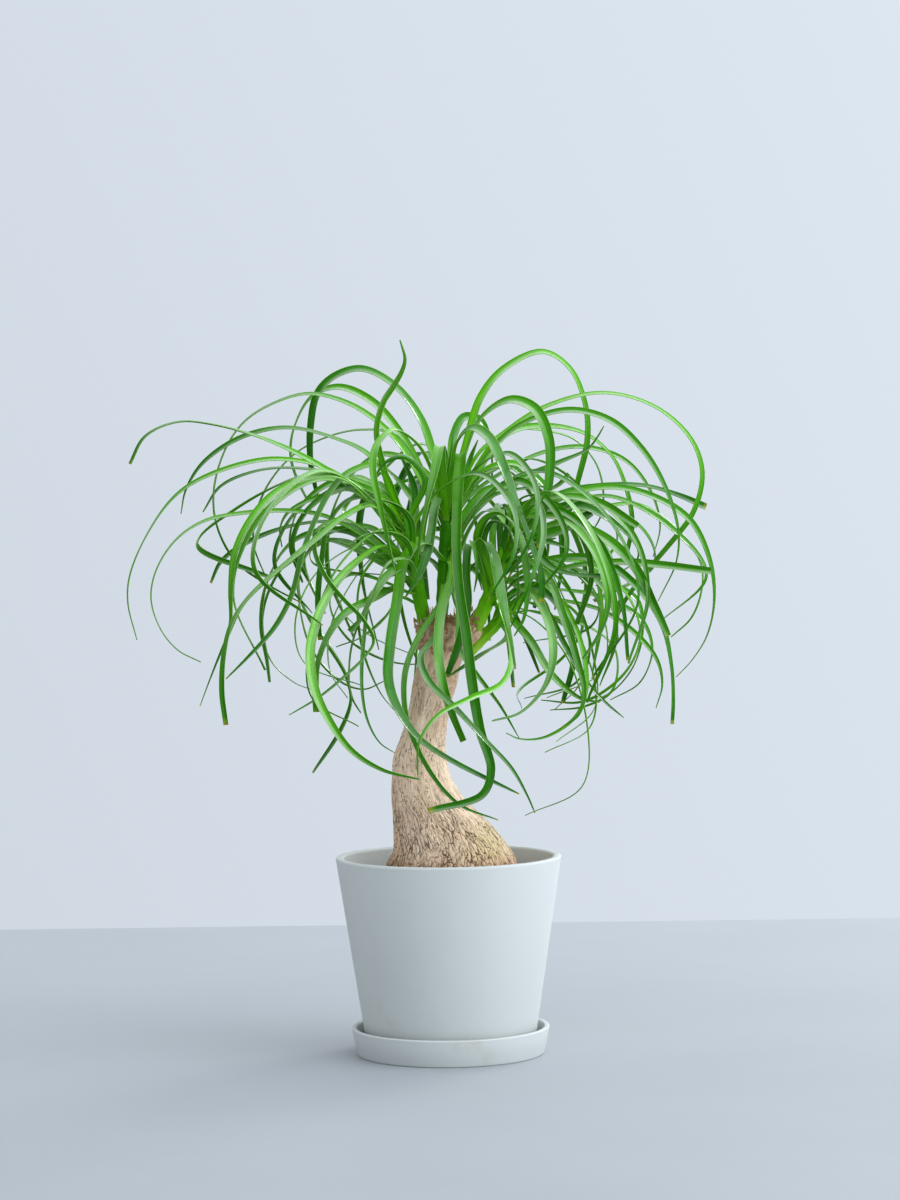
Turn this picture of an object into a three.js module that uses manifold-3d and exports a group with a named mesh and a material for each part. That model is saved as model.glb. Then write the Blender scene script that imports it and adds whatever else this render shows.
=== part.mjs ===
// A potted ponytail palm: a curved woody trunk with a swollen foot, four leafy shoots of arching strap
// leaves on its crown, soil, a tapered pot and its saucer. Millimetres, +Z up, the pot's axis on Z,
// the underside of the saucer at Z = 0, and the plant seen from -Y.
import * as THREE from "three";
import { mergeVertices } from "three/addons/utils/BufferGeometryUtils.js";
import Module from "manifold-3d";

const wasm = await Module();
wasm.setup();

// Saucer
const SAUCER = {
  footRadius: 83,
  rimRadius: 87.8,
  height: 24,
  floor: 4,
  wall: 4.6,
  lip: 1.2,
};

// Pot, which stands on the saucer's floor
const POT = {
  rimRadius: 100,
  footRadius: 74,
  rimHeight: 175,
  wall: 7.4,
  floor: 9,
  rimRound: 2.6,
  drainRadius: 7,
};

// Soil: its level below the rim, and the low bank along the wall with the dip inside it
const SOIL = { belowRim: 25, bankHeight: 2, bankWidth: 8, dipRadius: 70, dip: 1 };

// Clearance kept between pieces that rest in each other
const CLEARANCE = 0.3;

// Trunk, level by level: height, middle across and in depth, half width, half depth
const TRUNK_LEVELS = [
  { z: 118, x: 5, y: 0, across: 42, deep: 40 },
  { z: 136, x: 4, y: 0, across: 58, deep: 54 },
  { z: 152, x: 3, y: 0, across: 60.5, deep: 56 },
  { z: 169, x: 3, y: 0, across: 57.3, deep: 53 },
  { z: 182, x: 2.4, y: 0, across: 51.3, deep: 48 },
  { z: 197, x: -3.6, y: 0, across: 45.1, deep: 42 },
  { z: 211, x: -9.9, y: 0, across: 39.2, deep: 37 },
  { z: 225, x: -17.5, y: 0, across: 32, deep: 31 },
  { z: 244, x: -22.5, y: 0, across: 26.5, deep: 26 },
  { z: 265, x: -23.4, y: 0, across: 22.9, deep: 23 },
  { z: 294, x: -17.8, y: 0, across: 18.1, deep: 18.5 },
  { z: 323, x: -11.5, y: 0, across: 19, deep: 18 },
  { z: 345, x: -6, y: 1, across: 19, deep: 17.5 },
  { z: 358, x: -1.5, y: 2, across: 21.3, deep: 18 },
  { z: 368, x: 3.6, y: 2, across: 27, deep: 20 },
  { z: 379, x: 3.4, y: 2, across: 27.4, deep: 19 },
  { z: 386, x: 2.5, y: 2, across: 20, deep: 14 },
];
const TRUNK_SIDES = 26;
const TRUNK_RINGS = 23;
const FISSURES = { count: 13, depth: 1.1, sway: 0.9, swayLength: 31, ripple: 0.5, rippleLength: 12 };
const RIDGES = { count: 7, depth: 0.55, lean: 17 };

// Viewing point of the photograph, for the leaves that are placed by what it shows: pixels in its
// 900 x 1200 frame, millimetres and degrees
const VIEW = {
  focal: 3400,
  middle: [450, 600],
  x: 4.4,
  distance: 3002,
  height: 495.7,
  tilt: 1.8,
  roll: 0.76,
};

// Blades: thickness, length of one straight stretch, the fewest and the most stretches
const BLADE = { thick: 1.2, stretch: 38, fewest: 5, most: 12 };

// Share of a blade's width at its root and tip, and where the root widens and the tip narrows
const TAPER = { root: 0.62, rootShare: 0.12, tip: 0.15, tipShare: 0.52, tipPower: 1.5 };

// Turn of the blades about their length: a leaf that leaves its shoot sideways turns its upper face to
// the viewing side within this share of its length, and every leaf twists on a little as it goes
const TURN = { share: 0.25, twist: 0.3 };

// Fine steps of a leaf's curve, and how much more a turning step counts than a straight one
const CURVE_STEPS = 72;
const TURN_WEIGHT = 1.2;

// How near a blade may pass another head's blades, the trunk and the pot's rim, and the points felt on
// each straight stretch
const PASS = { blade: 3, trunk: 5, rim: 12, feelers: 7 };

// Grid of the joined blades' corners, the size of the slivers that are taken away, and the hair that a
// blade is raised by so that two don't pinch
const FINE_GRID = 0.001;
const SLIVER = 0.02;
const HAIR_LIFTS = [0, 0.05, -0.05, 0.1, -0.1, 0.15, -0.15];

// Leafy shoots: foot and top of each green stem, and its radii
const SHOOTS = {
  head_left: { foot: [-17, -2, 374], top: [-36, -10, 480], radii: [7.6, 4.5] },
  head_middle: { foot: [-4, 7, 376], top: [5, 17, 505], radii: [7, 4.5] },
  head_right: { foot: [23, -3, 370], top: [64, -10, 458], radii: [8, 4.5] },
  head_low: { foot: [18, 8, 352], top: [78, 28, 412], radii: [6.5, 4] },
};
const STEM_SIDES = 10;

// Leaves that the photograph shows, from root to tip. from is the root's place on the shoot, wide the
// blade's width, back how far the tip lies behind the shoot, roll the turn of the blade in degrees,
// tip the width of a cut end as a share of the blade's, and path the places in the photograph's frame
// that it passes, across and down.
const SHOWN = {
  head_left: [
    {
      from: 0.8, wide: 7, back: -35, roll: 40, tip: 0.45,
      path: [337, 477, 300, 455, 258, 437, 215, 425, 178, 422, 145, 437, 130, 464],
    },
    {
      from: 0.9, wide: 7, back: 50, roll: 35,
      path: [372, 458, 330, 437, 285, 428, 240, 438, 203, 463, 186, 490, 181, 514],
    },
    {
      from: 0.7, wide: 5, back: 20, roll: 36,
      path: [337, 474, 280, 459, 225, 469, 180, 492, 149, 531, 130, 575, 128, 603, 137, 640],
    },
    {
      from: 0.75, wide: 7, back: 75, roll: 42,
      path: [345, 480, 290, 468, 250, 473, 220, 487, 203, 512],
    },
    {
      from: 0.6, wide: 7, back: -95, roll: 44, tip: 0.5,
      path: [345, 480, 315, 477, 278, 491, 252, 518, 235, 553, 231, 590, 231, 620, 226, 643],
    },
    {
      from: 0.5, wide: 5, back: -20, roll: 35,
      path: [
        330, 518, 290, 511, 245, 513, 205, 521, 177, 539, 157, 568, 151, 598, 160, 628, 178, 650,
        201, 662,
      ],
    },
    {
      from: 0.45, wide: 7.5, back: 90, roll: 46, tip: 0.45,
      path: [365, 533, 338, 523, 310, 523, 275, 531, 243, 545, 221, 562, 211, 583],
    },
    {
      from: 1, wide: 7, back: -45, roll: 54,
      path: [392, 495, 380, 455, 376, 430, 383, 402, 394, 385, 402, 371, 405, 359, 400, 340],
    },
    {
      from: 0.6, wide: 6, back: -120, roll: 42, tip: 0.7,
      path: [372, 506, 345, 516, 315, 540, 282, 567, 250, 596, 232, 623, 224, 655, 222, 692, 226, 725],
    },
    {
      from: 0.4, wide: 4.5, back: 40, roll: 42,
      path: [340, 540, 300, 557, 268, 580, 243, 605, 228, 636, 213, 672, 200, 706],
    },
    {
      from: 0.35, wide: 7, back: 110, roll: 50, tip: 0.6,
      path: [350, 532, 303, 536, 283, 552, 270, 575, 263, 600, 262, 630, 267, 658, 270, 682],
    },
    {
      from: 0.95, wide: 7, back: -70, roll: 48,
      path: [380, 466, 352, 471, 333, 488, 318, 515, 303, 553, 292, 595, 275, 627, 250, 655, 226, 679],
    },
    {
      from: 0.55, wide: 8.5, back: -150, roll: 52,
      path: [
        385, 546, 357, 562, 333, 588, 317, 620, 310, 655, 315, 690, 330, 722, 352, 751, 383, 770,
        419, 779,
      ],
    },
    {
      from: 0.3, wide: 7.5, back: -70, roll: 50, tip: 0.85,
      path: [395, 589, 372, 599, 345, 614, 328, 637, 318, 665, 316, 690, 317, 712],
    },
    {
      from: 0.25, wide: 6, back: 60, roll: 50, tip: 0.8,
      path: [398, 575, 375, 590, 360, 620, 351, 650, 349, 680, 351, 703, 340, 732, 313, 773],
    },
    {
      from: 0.5, wide: 7, back: 130, roll: 50,
      path: [370, 528, 330, 533, 304, 560, 299, 590, 308, 615, 327, 643, 345, 673, 353, 700, 361, 713],
    },
    {
      from: 0.45, wide: 5, back: -100, roll: 42,
      path: [
        345, 520, 318, 530, 315, 550, 327, 578, 345, 600, 364, 620, 374, 641, 365, 657, 343, 678,
        318, 698, 289, 715,
      ],
    },
    {
      from: 0.65, wide: 9.5, back: -95, roll: 56,
      path: [420, 539, 404, 560, 397, 600, 390, 645, 388, 680, 397, 708, 418, 738, 450, 760, 519, 794],
    },
    {
      from: 0.35, wide: 7.5, back: -55, roll: 50, tip: 0.9,
      path: [403, 568, 388, 575, 373, 597, 360, 621, 350, 632],
    },
    {
      from: 0.7, wide: 7, back: -20, roll: 46, tip: 0.5,
      path: [385, 500, 350, 500, 330, 522, 322, 560, 318, 600, 320, 640],
    },
    {
      from: 0.2, wide: 4.5, back: 30, roll: 42,
      path: [400, 598, 385, 618, 362, 637, 336, 647],
    },
    {
      from: 0.3, wide: 3.5, back: 60, roll: 42,
      path: [350, 575, 330, 600, 345, 635, 380, 658, 415, 664, 440, 656],
    },
    {
      from: 0.3, wide: 3.5, back: -85, roll: 42,
      path: [375, 590, 364, 640, 362, 690, 368, 722, 380, 743, 395, 753],
    },
    {
      from: 0.4, wide: 4.5, back: 85, roll: 42,
      path: [330, 540, 300, 565, 299, 600, 308, 640, 322, 664, 345, 684, 365, 689, 384, 681],
    },
    {
      from: 0.4, wide: 4.5, back: 140, roll: 42,
      path: [320, 540, 285, 565, 266, 600, 263, 635, 272, 662, 295, 683, 313, 690],
    },
    {
      from: 0.85, wide: 5, back: 15, roll: 42, tip: 0.4,
      path: [350, 490, 330, 494, 305, 502, 287, 514, 280, 530, 282, 547],
    },
    {
      from: 0.55, wide: 5.5, back: 60, roll: 45,
      path: [430, 538, 440, 540, 448, 552, 453, 572],
    },
    {
      from: 0.6, wide: 6, back: -40, roll: 45,
      path: [410, 520, 395, 505, 378, 500, 362, 505],
    },
    {
      from: 0.75, wide: 6.5, back: 40, roll: 50,
      path: [415, 505, 402, 485, 388, 470, 380, 462],
    },
    {
      from: 0.45, wide: 6, back: -60, roll: 40,
      path: [405, 540, 385, 533, 365, 535, 348, 545],
    },
    {
      from: 0.85, wide: 6, back: 15, roll: 50,
      path: [415, 500, 412, 480, 405, 465, 400, 455],
    },
    {
      from: 0.35, wide: 6, back: -75, roll: 45,
      path: [408, 560, 391, 562, 380, 577, 373, 598],
    },
    {
      from: 0.9, wide: 5.5, back: -30, roll: 45,
      path: [425, 480, 405, 457, 385, 463, 373, 480],
    },
    {
      from: 0.45, wide: 6, back: 30, roll: 45,
      path: [424, 558, 434, 551, 443, 556, 448, 571],
    },
    {
      from: 0.6, wide: 6, back: 20, roll: 45,
      path: [425, 545, 433, 530, 442, 530, 450, 541],
    },
  ],
  head_middle: [
    {
      from: 0.75, wide: 8.5, back: 35, roll: 48, tip: 0.6,
      path: [433, 455, 420, 418, 395, 386, 362, 369, 335, 376, 318, 393, 311, 425, 311, 462, 318, 497],
    },
    {
      from: 0.65, wide: 7, back: 95, roll: 46, tip: 0.6,
      path: [425, 480, 403, 437, 372, 401, 338, 387, 312, 397, 295, 425, 291, 455, 298, 480, 309, 502],
    },
    {
      from: 0.6, wide: 6, back: -10, roll: 40,
      path: [
        405, 452, 378, 422, 345, 402, 308, 394, 270, 405, 243, 423, 225, 450, 214, 490, 217, 525,
        235, 560, 265, 583, 300, 602,
      ],
    },
    {
      from: 0.7, wide: 7, back: -75, roll: 50,
      path: [432, 472, 415, 442, 394, 430, 377, 445, 373, 468, 380, 505, 389, 545, 397, 577],
    },
    {
      from: 0.7, wide: 8.5, back: -85, roll: 58,
      path: [441, 462, 440, 446, 434, 475, 427, 505, 421, 535, 417, 560],
    },
    {
      from: 0.8, wide: 7.5, back: 70, roll: 52, tip: 0.6,
      path: [451, 468, 453, 437, 464, 417, 480, 420, 490, 442, 492, 475, 490, 502],
    },
    {
      from: 0.85, wide: 7.5, back: 25, roll: 46, tip: 0.5,
      path: [465, 448, 481, 397, 505, 368, 543, 352, 570, 369, 585, 405, 587, 440, 578, 480, 567, 520],
    },
    {
      from: 0.8, wide: 9.5, back: -70, roll: 50, tip: 0.6,
      path: [463, 462, 480, 420, 510, 400, 535, 409, 549, 440, 549, 480, 541, 520, 538, 548],
    },
    {
      from: 0.75, wide: 11, back: -95, roll: 54, tip: 0.5,
      path: [452, 475, 458, 440, 472, 428, 487, 436, 503, 467, 517, 508, 531, 545, 541, 575, 541, 602],
    },
    {
      from: 0.7, wide: 6, back: 15, roll: 38, tip: 0.5,
      path: [
        478, 455, 500, 436, 545, 407, 603, 393, 655, 407, 690, 438, 702, 472, 693, 512, 667, 547,
        637, 583, 617, 617, 617, 640,
      ],
    },
    {
      from: 0.65, wide: 6, back: -45, roll: 38,
      path: [482, 462, 515, 428, 567, 410, 610, 420, 643, 450, 666, 489, 678, 530, 676, 562, 658, 601],
    },
    {
      from: 0.6, wide: 7.5, back: 60, roll: 44, tip: 0.5,
      path: [478, 470, 508, 433, 545, 426, 585, 434, 612, 457, 627, 492, 632, 525, 627, 552],
    },
    {
      from: 0.4, wide: 5, back: 110, roll: 38,
      path: [462, 506, 505, 471, 545, 452, 585, 447, 625, 460, 650, 490, 660, 525, 653, 557],
    },
    {
      from: 0.8, wide: 10, back: -125, roll: 60, tip: 0.5,
      path: [
        460, 470, 461, 453, 458, 500, 457, 545, 460, 590, 467, 635, 472, 680, 480, 730, 491, 770,
        482, 795, 428, 811,
      ],
    },
    {
      from: 0.5, wide: 8.5, back: -100, roll: 56, tip: 0.8,
      path: [452, 565, 452, 577, 442, 608, 438, 645, 442, 680, 452, 712, 464, 741],
    },
    {
      from: 0.45, wide: 6, back: -80, roll: 52,
      path: [455, 575, 440, 605, 420, 635, 406, 670, 405, 705, 413, 737, 434, 777, 460, 805, 498, 820],
    },
    {
      from: 0.35, wide: 6, back: -75, roll: 50,
      path: [436, 635, 421, 657, 428, 680, 455, 708, 485, 740, 512, 769, 528, 797, 535, 813],
    },
    {
      from: 0.4, wide: 4.5, back: -60, roll: 46,
      path: [457, 600, 460, 650, 475, 672, 500, 705, 519, 738],
    },
    {
      from: 0.7, wide: 4.5, back: 60, roll: 40,
      path: [395, 436, 362, 430, 330, 436, 296, 453, 270, 482, 256, 515, 254, 545, 267, 580],
    },
    {
      from: 0.75, wide: 4.5, back: 95, roll: 40,
      path: [505, 433, 545, 431, 575, 440, 595, 462, 603, 490, 601, 515, 590, 535],
    },
    {
      from: 0.95, wide: 7.5, back: 8, roll: 58,
      path: [446, 475, 445, 446],
    },
    {
      from: 0.9, wide: 9, back: -60, roll: 58,
      path: [450, 492, 444, 489, 436, 505, 432, 530, 427, 555, 418, 578, 405, 598],
    },
    {
      from: 0.8, wide: 6.5, back: -15, roll: 50,
      path: [447, 500, 451, 465, 452, 445, 453, 430],
    },
    {
      from: 0.85, wide: 6, back: 20, roll: 45,
      path: [458, 500, 466, 478, 470, 460, 478, 440],
    },
    {
      from: 0.75, wide: 6, back: -40, roll: 45,
      path: [462, 505, 475, 482, 488, 470, 505, 468],
    },
    {
      from: 0.5, wide: 5, back: -55, roll: 40,
      path: [470, 520, 480, 505, 500, 493, 520, 489, 546, 486],
    },
    {
      from: 0.35, wide: 6, back: 10, roll: 45,
      path: [440, 570, 430, 560, 420, 558, 408, 566],
    },
    {
      from: 0.45, wide: 6, back: 25, roll: 45,
      path: [438, 555, 428, 544, 418, 547, 410, 560],
    },
    {
      from: 0.3, wide: 6, back: 15, roll: 45,
      path: [455, 575, 466, 566, 476, 572, 482, 590],
    },
  ],
  head_right: [
    {
      from: 0.8, wide: 7, back: 60, roll: 48, tip: 0.9,
      path: [535, 510, 565, 493, 605, 486, 645, 486, 680, 496, 706, 507],
    },
    {
      from: 0.5, wide: 7, back: -35, roll: 46, tip: 0.85,
      path: [545, 575, 575, 566, 620, 562, 665, 565, 711, 571],
    },
    {
      from: 0.75, wide: 6, back: 20, roll: 40,
      path: [560, 500, 610, 487, 655, 497, 690, 520, 709, 558, 714, 598, 707, 635, 692, 660, 676, 677],
    },
    {
      from: 0.7, wide: 5, back: 85, roll: 40,
      path: [560, 520, 600, 508, 640, 505, 680, 532, 701, 565, 701, 592, 691, 618, 671, 637],
    },
    {
      from: 0.8, wide: 9, back: -55, roll: 48, tip: 0.65,
      path: [530, 535, 565, 523, 605, 538, 635, 567, 655, 607, 668, 636],
    },
    {
      from: 0.6, wide: 7, back: -15, roll: 46, tip: 0.5,
      path: [545, 560, 600, 560, 640, 590, 662, 625, 671, 665, 673, 700, 672, 724],
    },
    {
      from: 0.85, wide: 7.5, back: -95, roll: 48, tip: 0.3,
      path: [510, 525, 535, 516, 565, 520, 590, 545, 605, 578, 608, 605, 600, 633, 583, 659],
    },
    {
      from: 0.7, wide: 7, back: -90, roll: 50,
      path: [525, 560, 548, 578, 563, 615, 576, 655, 584, 692, 578, 715, 562, 727],
    },
    {
      from: 0.65, wide: 4.5, back: -50, roll: 46,
      path: [530, 575, 560, 600, 580, 640, 586, 690, 575, 717, 545, 737, 520, 739, 506, 733],
    },
    {
      from: 0.6, wide: 7.5, back: -110, roll: 52,
      path: [515, 585, 535, 597, 550, 628, 553, 660, 545, 687, 520, 713, 492, 721],
    },
    {
      from: 0.9, wide: 5, back: 45, roll: 50,
      path: [515, 485, 553, 465, 588, 449, 597, 438, 604, 426],
    },
    {
      from: 0.95, wide: 6, back: -25, roll: 54, tip: 0.7,
      path: [520, 500, 545, 492, 560, 484, 569, 474],
    },
    {
      from: 0.75, wide: 9, back: 10, roll: 54, tip: 0.9,
      path: [515, 546, 540, 537, 570, 525, 592, 513],
    },
    {
      from: 0.7, wide: 6, back: -70, roll: 50, tip: 0.75,
      path: [530, 545, 541, 557, 555, 569, 585, 576, 612, 575],
    },
    {
      from: 0.95, wide: 8.5, back: -40, roll: 48, tip: 0.6,
      path: [515, 512, 540, 500, 575, 497, 605, 505, 638, 526],
    },
    {
      from: 0.45, wide: 10.5, back: -95, roll: 54, tip: 0.5,
      path: [489, 575, 480, 549, 484, 541, 492, 552, 500, 590, 507, 625, 513, 655, 515, 669],
    },
    {
      from: 0.4, wide: 5, back: -115, roll: 54,
      path: [
        496, 590, 498, 600, 509, 635, 511, 664, 501, 684, 470, 698, 437, 716, 419, 743, 418, 775,
      ],
    },
    {
      from: 0.55, wide: 8.5, back: -85, roll: 54,
      path: [486, 560, 478, 537, 486, 519, 500, 514, 517, 530, 525, 562, 527, 595, 523, 620, 514, 636],
    },
    {
      from: 0.4, wide: 9.5, back: -70, roll: 56, tip: 0.5,
      path: [485, 578, 478, 552, 470, 545, 467, 575, 468, 602, 463, 630, 455, 655, 447, 677],
    },
    {
      from: 0.5, wide: 5, back: 40, roll: 42,
      path: [560, 560, 600, 570, 630, 600, 640, 635, 630, 665, 607, 689, 580, 702, 541, 700],
    },
    {
      from: 0.4, wide: 6, back: 100, roll: 42,
      path: [540, 565, 600, 580, 637, 600, 642, 632, 634, 665, 614, 690, 600, 698],
    },
    {
      from: 0.5, wide: 7.5, back: -60, roll: 50,
      path: [491, 568, 484, 542, 493, 522, 506, 526, 515, 548, 518, 575, 517, 598, 511, 613],
    },
    {
      from: 0.35, wide: 5, back: -50, roll: 45,
      path: [481, 570, 474, 546, 472, 541, 476, 555, 477, 575, 474, 592],
    },
    {
      from: 0.5, wide: 6, back: -45, roll: 45,
      path: [500, 588, 515, 568, 527, 556, 541, 548],
    },
    {
      from: 0.6, wide: 6, back: -20, roll: 45,
      path: [505, 575, 520, 558, 535, 545, 556, 538],
    },
    {
      from: 0.7, wide: 5.5, back: -55, roll: 45,
      path: [508, 560, 522, 546, 540, 541, 560, 545, 575, 553],
    },
    {
      from: 0.75, wide: 5, back: -35, roll: 45,
      path: [500, 560, 505, 537, 507, 520, 505, 508],
    },
    {
      from: 0.65, wide: 6, back: 30, roll: 45,
      path: [510, 565, 517, 540, 531, 520, 550, 510],
    },
    {
      from: 0.4, wide: 6, back: -40, roll: 45,
      path: [500, 595, 517, 581, 535, 575, 551, 584],
    },
    {
      from: 0.3, wide: 5.5, back: -20, roll: 45,
      path: [495, 605, 515, 592, 530, 590, 545, 603, 552, 625],
    },
    {
      from: 0.6, wide: 6, back: 30, roll: 45,
      path: [500, 568, 485, 559, 474, 565, 466, 580],
    },
  ],
  head_low: [
    {
      from: 0.5, wide: 6, back: -60, roll: 50,
      path: [508, 636, 478, 657, 448, 677],
    },
    {
      from: 0.6, wide: 7, back: -80, roll: 50,
      path: [530, 640, 552, 675, 580, 698, 600, 702],
    },
    {
      from: 0.9, wide: 5, back: 20, roll: 42,
      path: [560, 600, 600, 610, 635, 633, 657, 660, 662, 685, 656, 708],
    },
    {
      from: 0.8, wide: 5, back: -30, roll: 46,
      path: [545, 610, 565, 645, 585, 680, 605, 702, 624, 718],
    },
    {
      from: 0.7, wide: 4.5, back: 50, roll: 42,
      path: [545, 615, 590, 628, 615, 650, 612, 690, 585, 706, 550, 710],
    },
    {
      from: 0.95, wide: 5, back: 60, roll: 42,
      path: [560, 590, 598, 596, 640, 618, 652, 650, 640, 682, 610, 700],
    },
  ],
};

// Leaves that fill each head on the sides the photograph doesn't show: how many, the middle and the
// spread of their directions in degrees (0 is +X, 90 is away from the viewer), and their reach
const FILLED = {
  head_left: { count: 16, toward: 130, spread: 250, reach: [95, 215], rise: [10, 95] },
  head_middle: { count: 15, toward: 90, spread: 260, reach: [90, 200], rise: [15, 75] },
  head_right: { count: 14, toward: 55, spread: 250, reach: [90, 190], rise: [5, 85] },
  head_low: { count: 5, toward: 60, spread: 200, reach: [70, 140], rise: [5, 35] },
};

// Ranges of a filling leaf's other measures, and the steps that spread each measure over its range
const FILL_RANGE = {
  from: [0.25, 1],
  wide: [5, 8],
  roll: [15, 65],
  turn: [-0.5, 0.5],
  hang: [50, 160],
  inward: [0.6, 1.02],
  bend: [-50, 50],
  tip: [0.1, 0.6],
};
const FILL_STEP = {
  from: 0.618034,
  wide: 0.2914,
  roll: 0.4331,
  turn: 0.754878,
  reach: 0.56984,
  rise: 0.381966,
  hang: 0.9129,
  inward: 0.1459,
  bend: 0.8393,
  tip: 0.3247,
};

// Side view of a filling leaf: shares of its reach outwards, then of its rise, reach and hang upwards
const ARCH = [
  { out: 0, rise: 0, reach: 0, hang: 0 },
  { out: 0.2, rise: 0.62, reach: 0.1, hang: 0 },
  { out: 0.52, rise: 1, reach: 0.12, hang: 0 },
  { out: 0.86, rise: 1, reach: 0, hang: -0.12 },
  { out: 1, rise: 1, reach: 0, hang: -0.55 },
];

// Sideways shifts that a leaf tries, in millimetres, nearest first
const ASIDE = [0, 9, -9, 18, -18, 27, -27, 38, -38, 50, -50, 65, -65, 80, -80, 95, -95];

// Joins and cuts

function solid(geometry) {
  const bare = geometry.clone();
  bare.deleteAttribute("normal");
  bare.deleteAttribute("uv");
  const merged = mergeVertices(bare, 1e-4);
  return new wasm.Manifold(
    new wasm.Mesh({
      numProp: 3,
      vertProperties: Float32Array.from(merged.attributes.position.array),
      triVerts: Uint32Array.from(merged.index.array),
    }),
  );
}

function geometryOf(body) {
  const mesh = body.getMesh();
  const geometry = new THREE.BufferGeometry();
  geometry.setAttribute("position", new THREE.BufferAttribute(mesh.vertProperties, 3));
  geometry.setIndex(new THREE.BufferAttribute(mesh.triVerts, 1));
  geometry.computeVertexNormals();
  return geometry;
}

function named(name, geometry, material) {
  const mesh = new THREE.Mesh(geometry, material);
  mesh.name = name;
  return mesh;
}

// Finishes

const finish = {
  pot: new THREE.MeshStandardMaterial({ color: 0xbfcdd5, roughness: 0.75, metalness: 0 }),
  soil: new THREE.MeshStandardMaterial({ color: 0x3a2a1e, roughness: 1, metalness: 0 }),
  bark: new THREE.MeshStandardMaterial({ color: 0xb9977a, roughness: 0.9, metalness: 0 }),
  leaf: new THREE.MeshStandardMaterial({ color: 0x3f8f2a, roughness: 0.45, metalness: 0 }),
};

// Turned pieces: saucer, pot and soil

const TURNED_SIDES = 48;

function turned(outline) {
  const profile = outline.map(([radius, height]) => new THREE.Vector2(radius, height));
  return new THREE.LatheGeometry(profile, TURNED_SIDES).rotateX(Math.PI / 2);
}

// Points on a quarter or half circle, for a rounded edge.
function rounded(centre, radius, start, end, steps) {
  return Array.from({ length: steps + 1 }, (_, i) => {
    const angle = THREE.MathUtils.degToRad(start + ((end - start) * i) / steps);
    return [centre[0] + radius * Math.cos(angle), centre[1] + radius * Math.sin(angle)];
  });
}

function saucerShape() {
  const { footRadius, rimRadius, height, floor, wall, lip } = SAUCER;
  return turned([
    [0, 0],
    [footRadius, 0],
    ...rounded([rimRadius - lip, height - lip], lip, 0, 90, 2),
    ...rounded([rimRadius - wall + lip, height - lip], lip, 90, 180, 2),
    [footRadius - wall, floor],
    [0, floor],
  ]);
}

// Radius of the pot's outer wall at a height.
function potRadius(z) {
  const { footRadius, rimRadius, rimHeight } = POT;
  return footRadius + ((rimRadius - footRadius) * (z - SAUCER.floor)) / (rimHeight - SAUCER.floor);
}

function potShape() {
  const { rimHeight, wall, floor, rimRound, drainRadius } = POT;
  const foot = SAUCER.floor;
  const rimTop = rimHeight - rimRound;
  const outer = potRadius(rimTop) - rimRound;
  const inner = potRadius(rimHeight) - wall + rimRound;
  const insideFloor = foot + floor;
  return turned([
    [drainRadius, foot],
    [potRadius(foot), foot],
    ...rounded([outer, rimTop], rimRound, 8, 90, 3),
    ...rounded([inner, rimTop], rimRound, 90, 172, 3),
    [potRadius(insideFloor) - wall, insideFloor],
    [drainRadius, insideFloor],
    [drainRadius, foot],
  ]);
}

function soilShape() {
  const floor = SAUCER.floor + POT.floor;
  const top = POT.rimHeight - SOIL.belowRim;
  const inset = POT.wall + CLEARANCE;
  const plug = turned([
    [0, floor],
    [potRadius(floor) - inset, floor],
    [potRadius(top) - inset, top],
    [potRadius(top) - inset - SOIL.bankWidth, top + SOIL.bankHeight],
    [SOIL.dipRadius, top - SOIL.dip],
    [0, top],
  ]);
  return geometryOf(solid(plug).subtract(solid(trunkShape(CLEARANCE))));
}

// Trunk

// Smooth value of one measure of the trunk's levels at a height, by a Catmull-Rom curve.
function level(measure, z) {
  const last = TRUNK_LEVELS.length - 1;
  let i = 0;
  while (i < last - 1 && TRUNK_LEVELS[i + 1].z < z) i += 1;
  const at = (k) => TRUNK_LEVELS[THREE.MathUtils.clamp(k, 0, last)];
  const slope = (k) => (at(k + 1)[measure] - at(k - 1)[measure]) / (at(k + 1).z - at(k - 1).z);
  const step = at(i + 1).z - at(i).z;
  const t = THREE.MathUtils.clamp((z - at(i).z) / step, 0, 1);
  const start = at(i)[measure];
  const end = at(i + 1)[measure];
  const squared = t * t;
  const cubed = squared * t;
  return (
    (2 * cubed - 3 * squared + 1) * start +
    (cubed - 2 * squared + t) * step * slope(i) +
    (3 * squared - 2 * cubed) * end +
    (cubed - squared) * step * slope(i + 1)
  );
}

// Bark relief at an angle and height: upright fissures that wander, deeper towards the foot.
function bark(angle, z) {
  const { count, depth, sway, swayLength, ripple, rippleLength } = FISSURES;
  const wander = sway * Math.sin(z / swayLength) + ripple * Math.sin(z / rippleLength + 2 * angle);
  const ridge = RIDGES.depth * Math.cos(RIDGES.count * angle - z / RIDGES.lean);
  return depth * Math.cos(count * angle + wander) + ridge;
}

// Trunk, or with a margin the hole that it stands in.
function trunkShape(margin = 0) {
  const shape = new THREE.CylinderGeometry(1, 1, 1, TRUNK_SIDES, TRUNK_RINGS);
  const place = shape.attributes.position;
  const low = TRUNK_LEVELS[0].z - margin;
  const high = TRUNK_LEVELS[TRUNK_LEVELS.length - 1].z;
  for (let i = 0; i < place.count; i += 1) {
    const z = low + (high - low) * (place.getY(i) + 0.5);
    const out = Math.hypot(place.getX(i), place.getZ(i));
    const angle = Math.atan2(-place.getZ(i), place.getX(i));
    const relief = out > 0.5 ? bark(angle, z) + margin : 0;
    place.setXYZ(
      i,
      level("x", z) + (level("across", z) * out + relief) * Math.cos(angle) * Math.min(1, out),
      level("y", z) + (level("deep", z) * out + relief) * Math.sin(angle) * Math.min(1, out),
      z,
    );
  }
  return shape;
}

// Leaf curves

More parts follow.
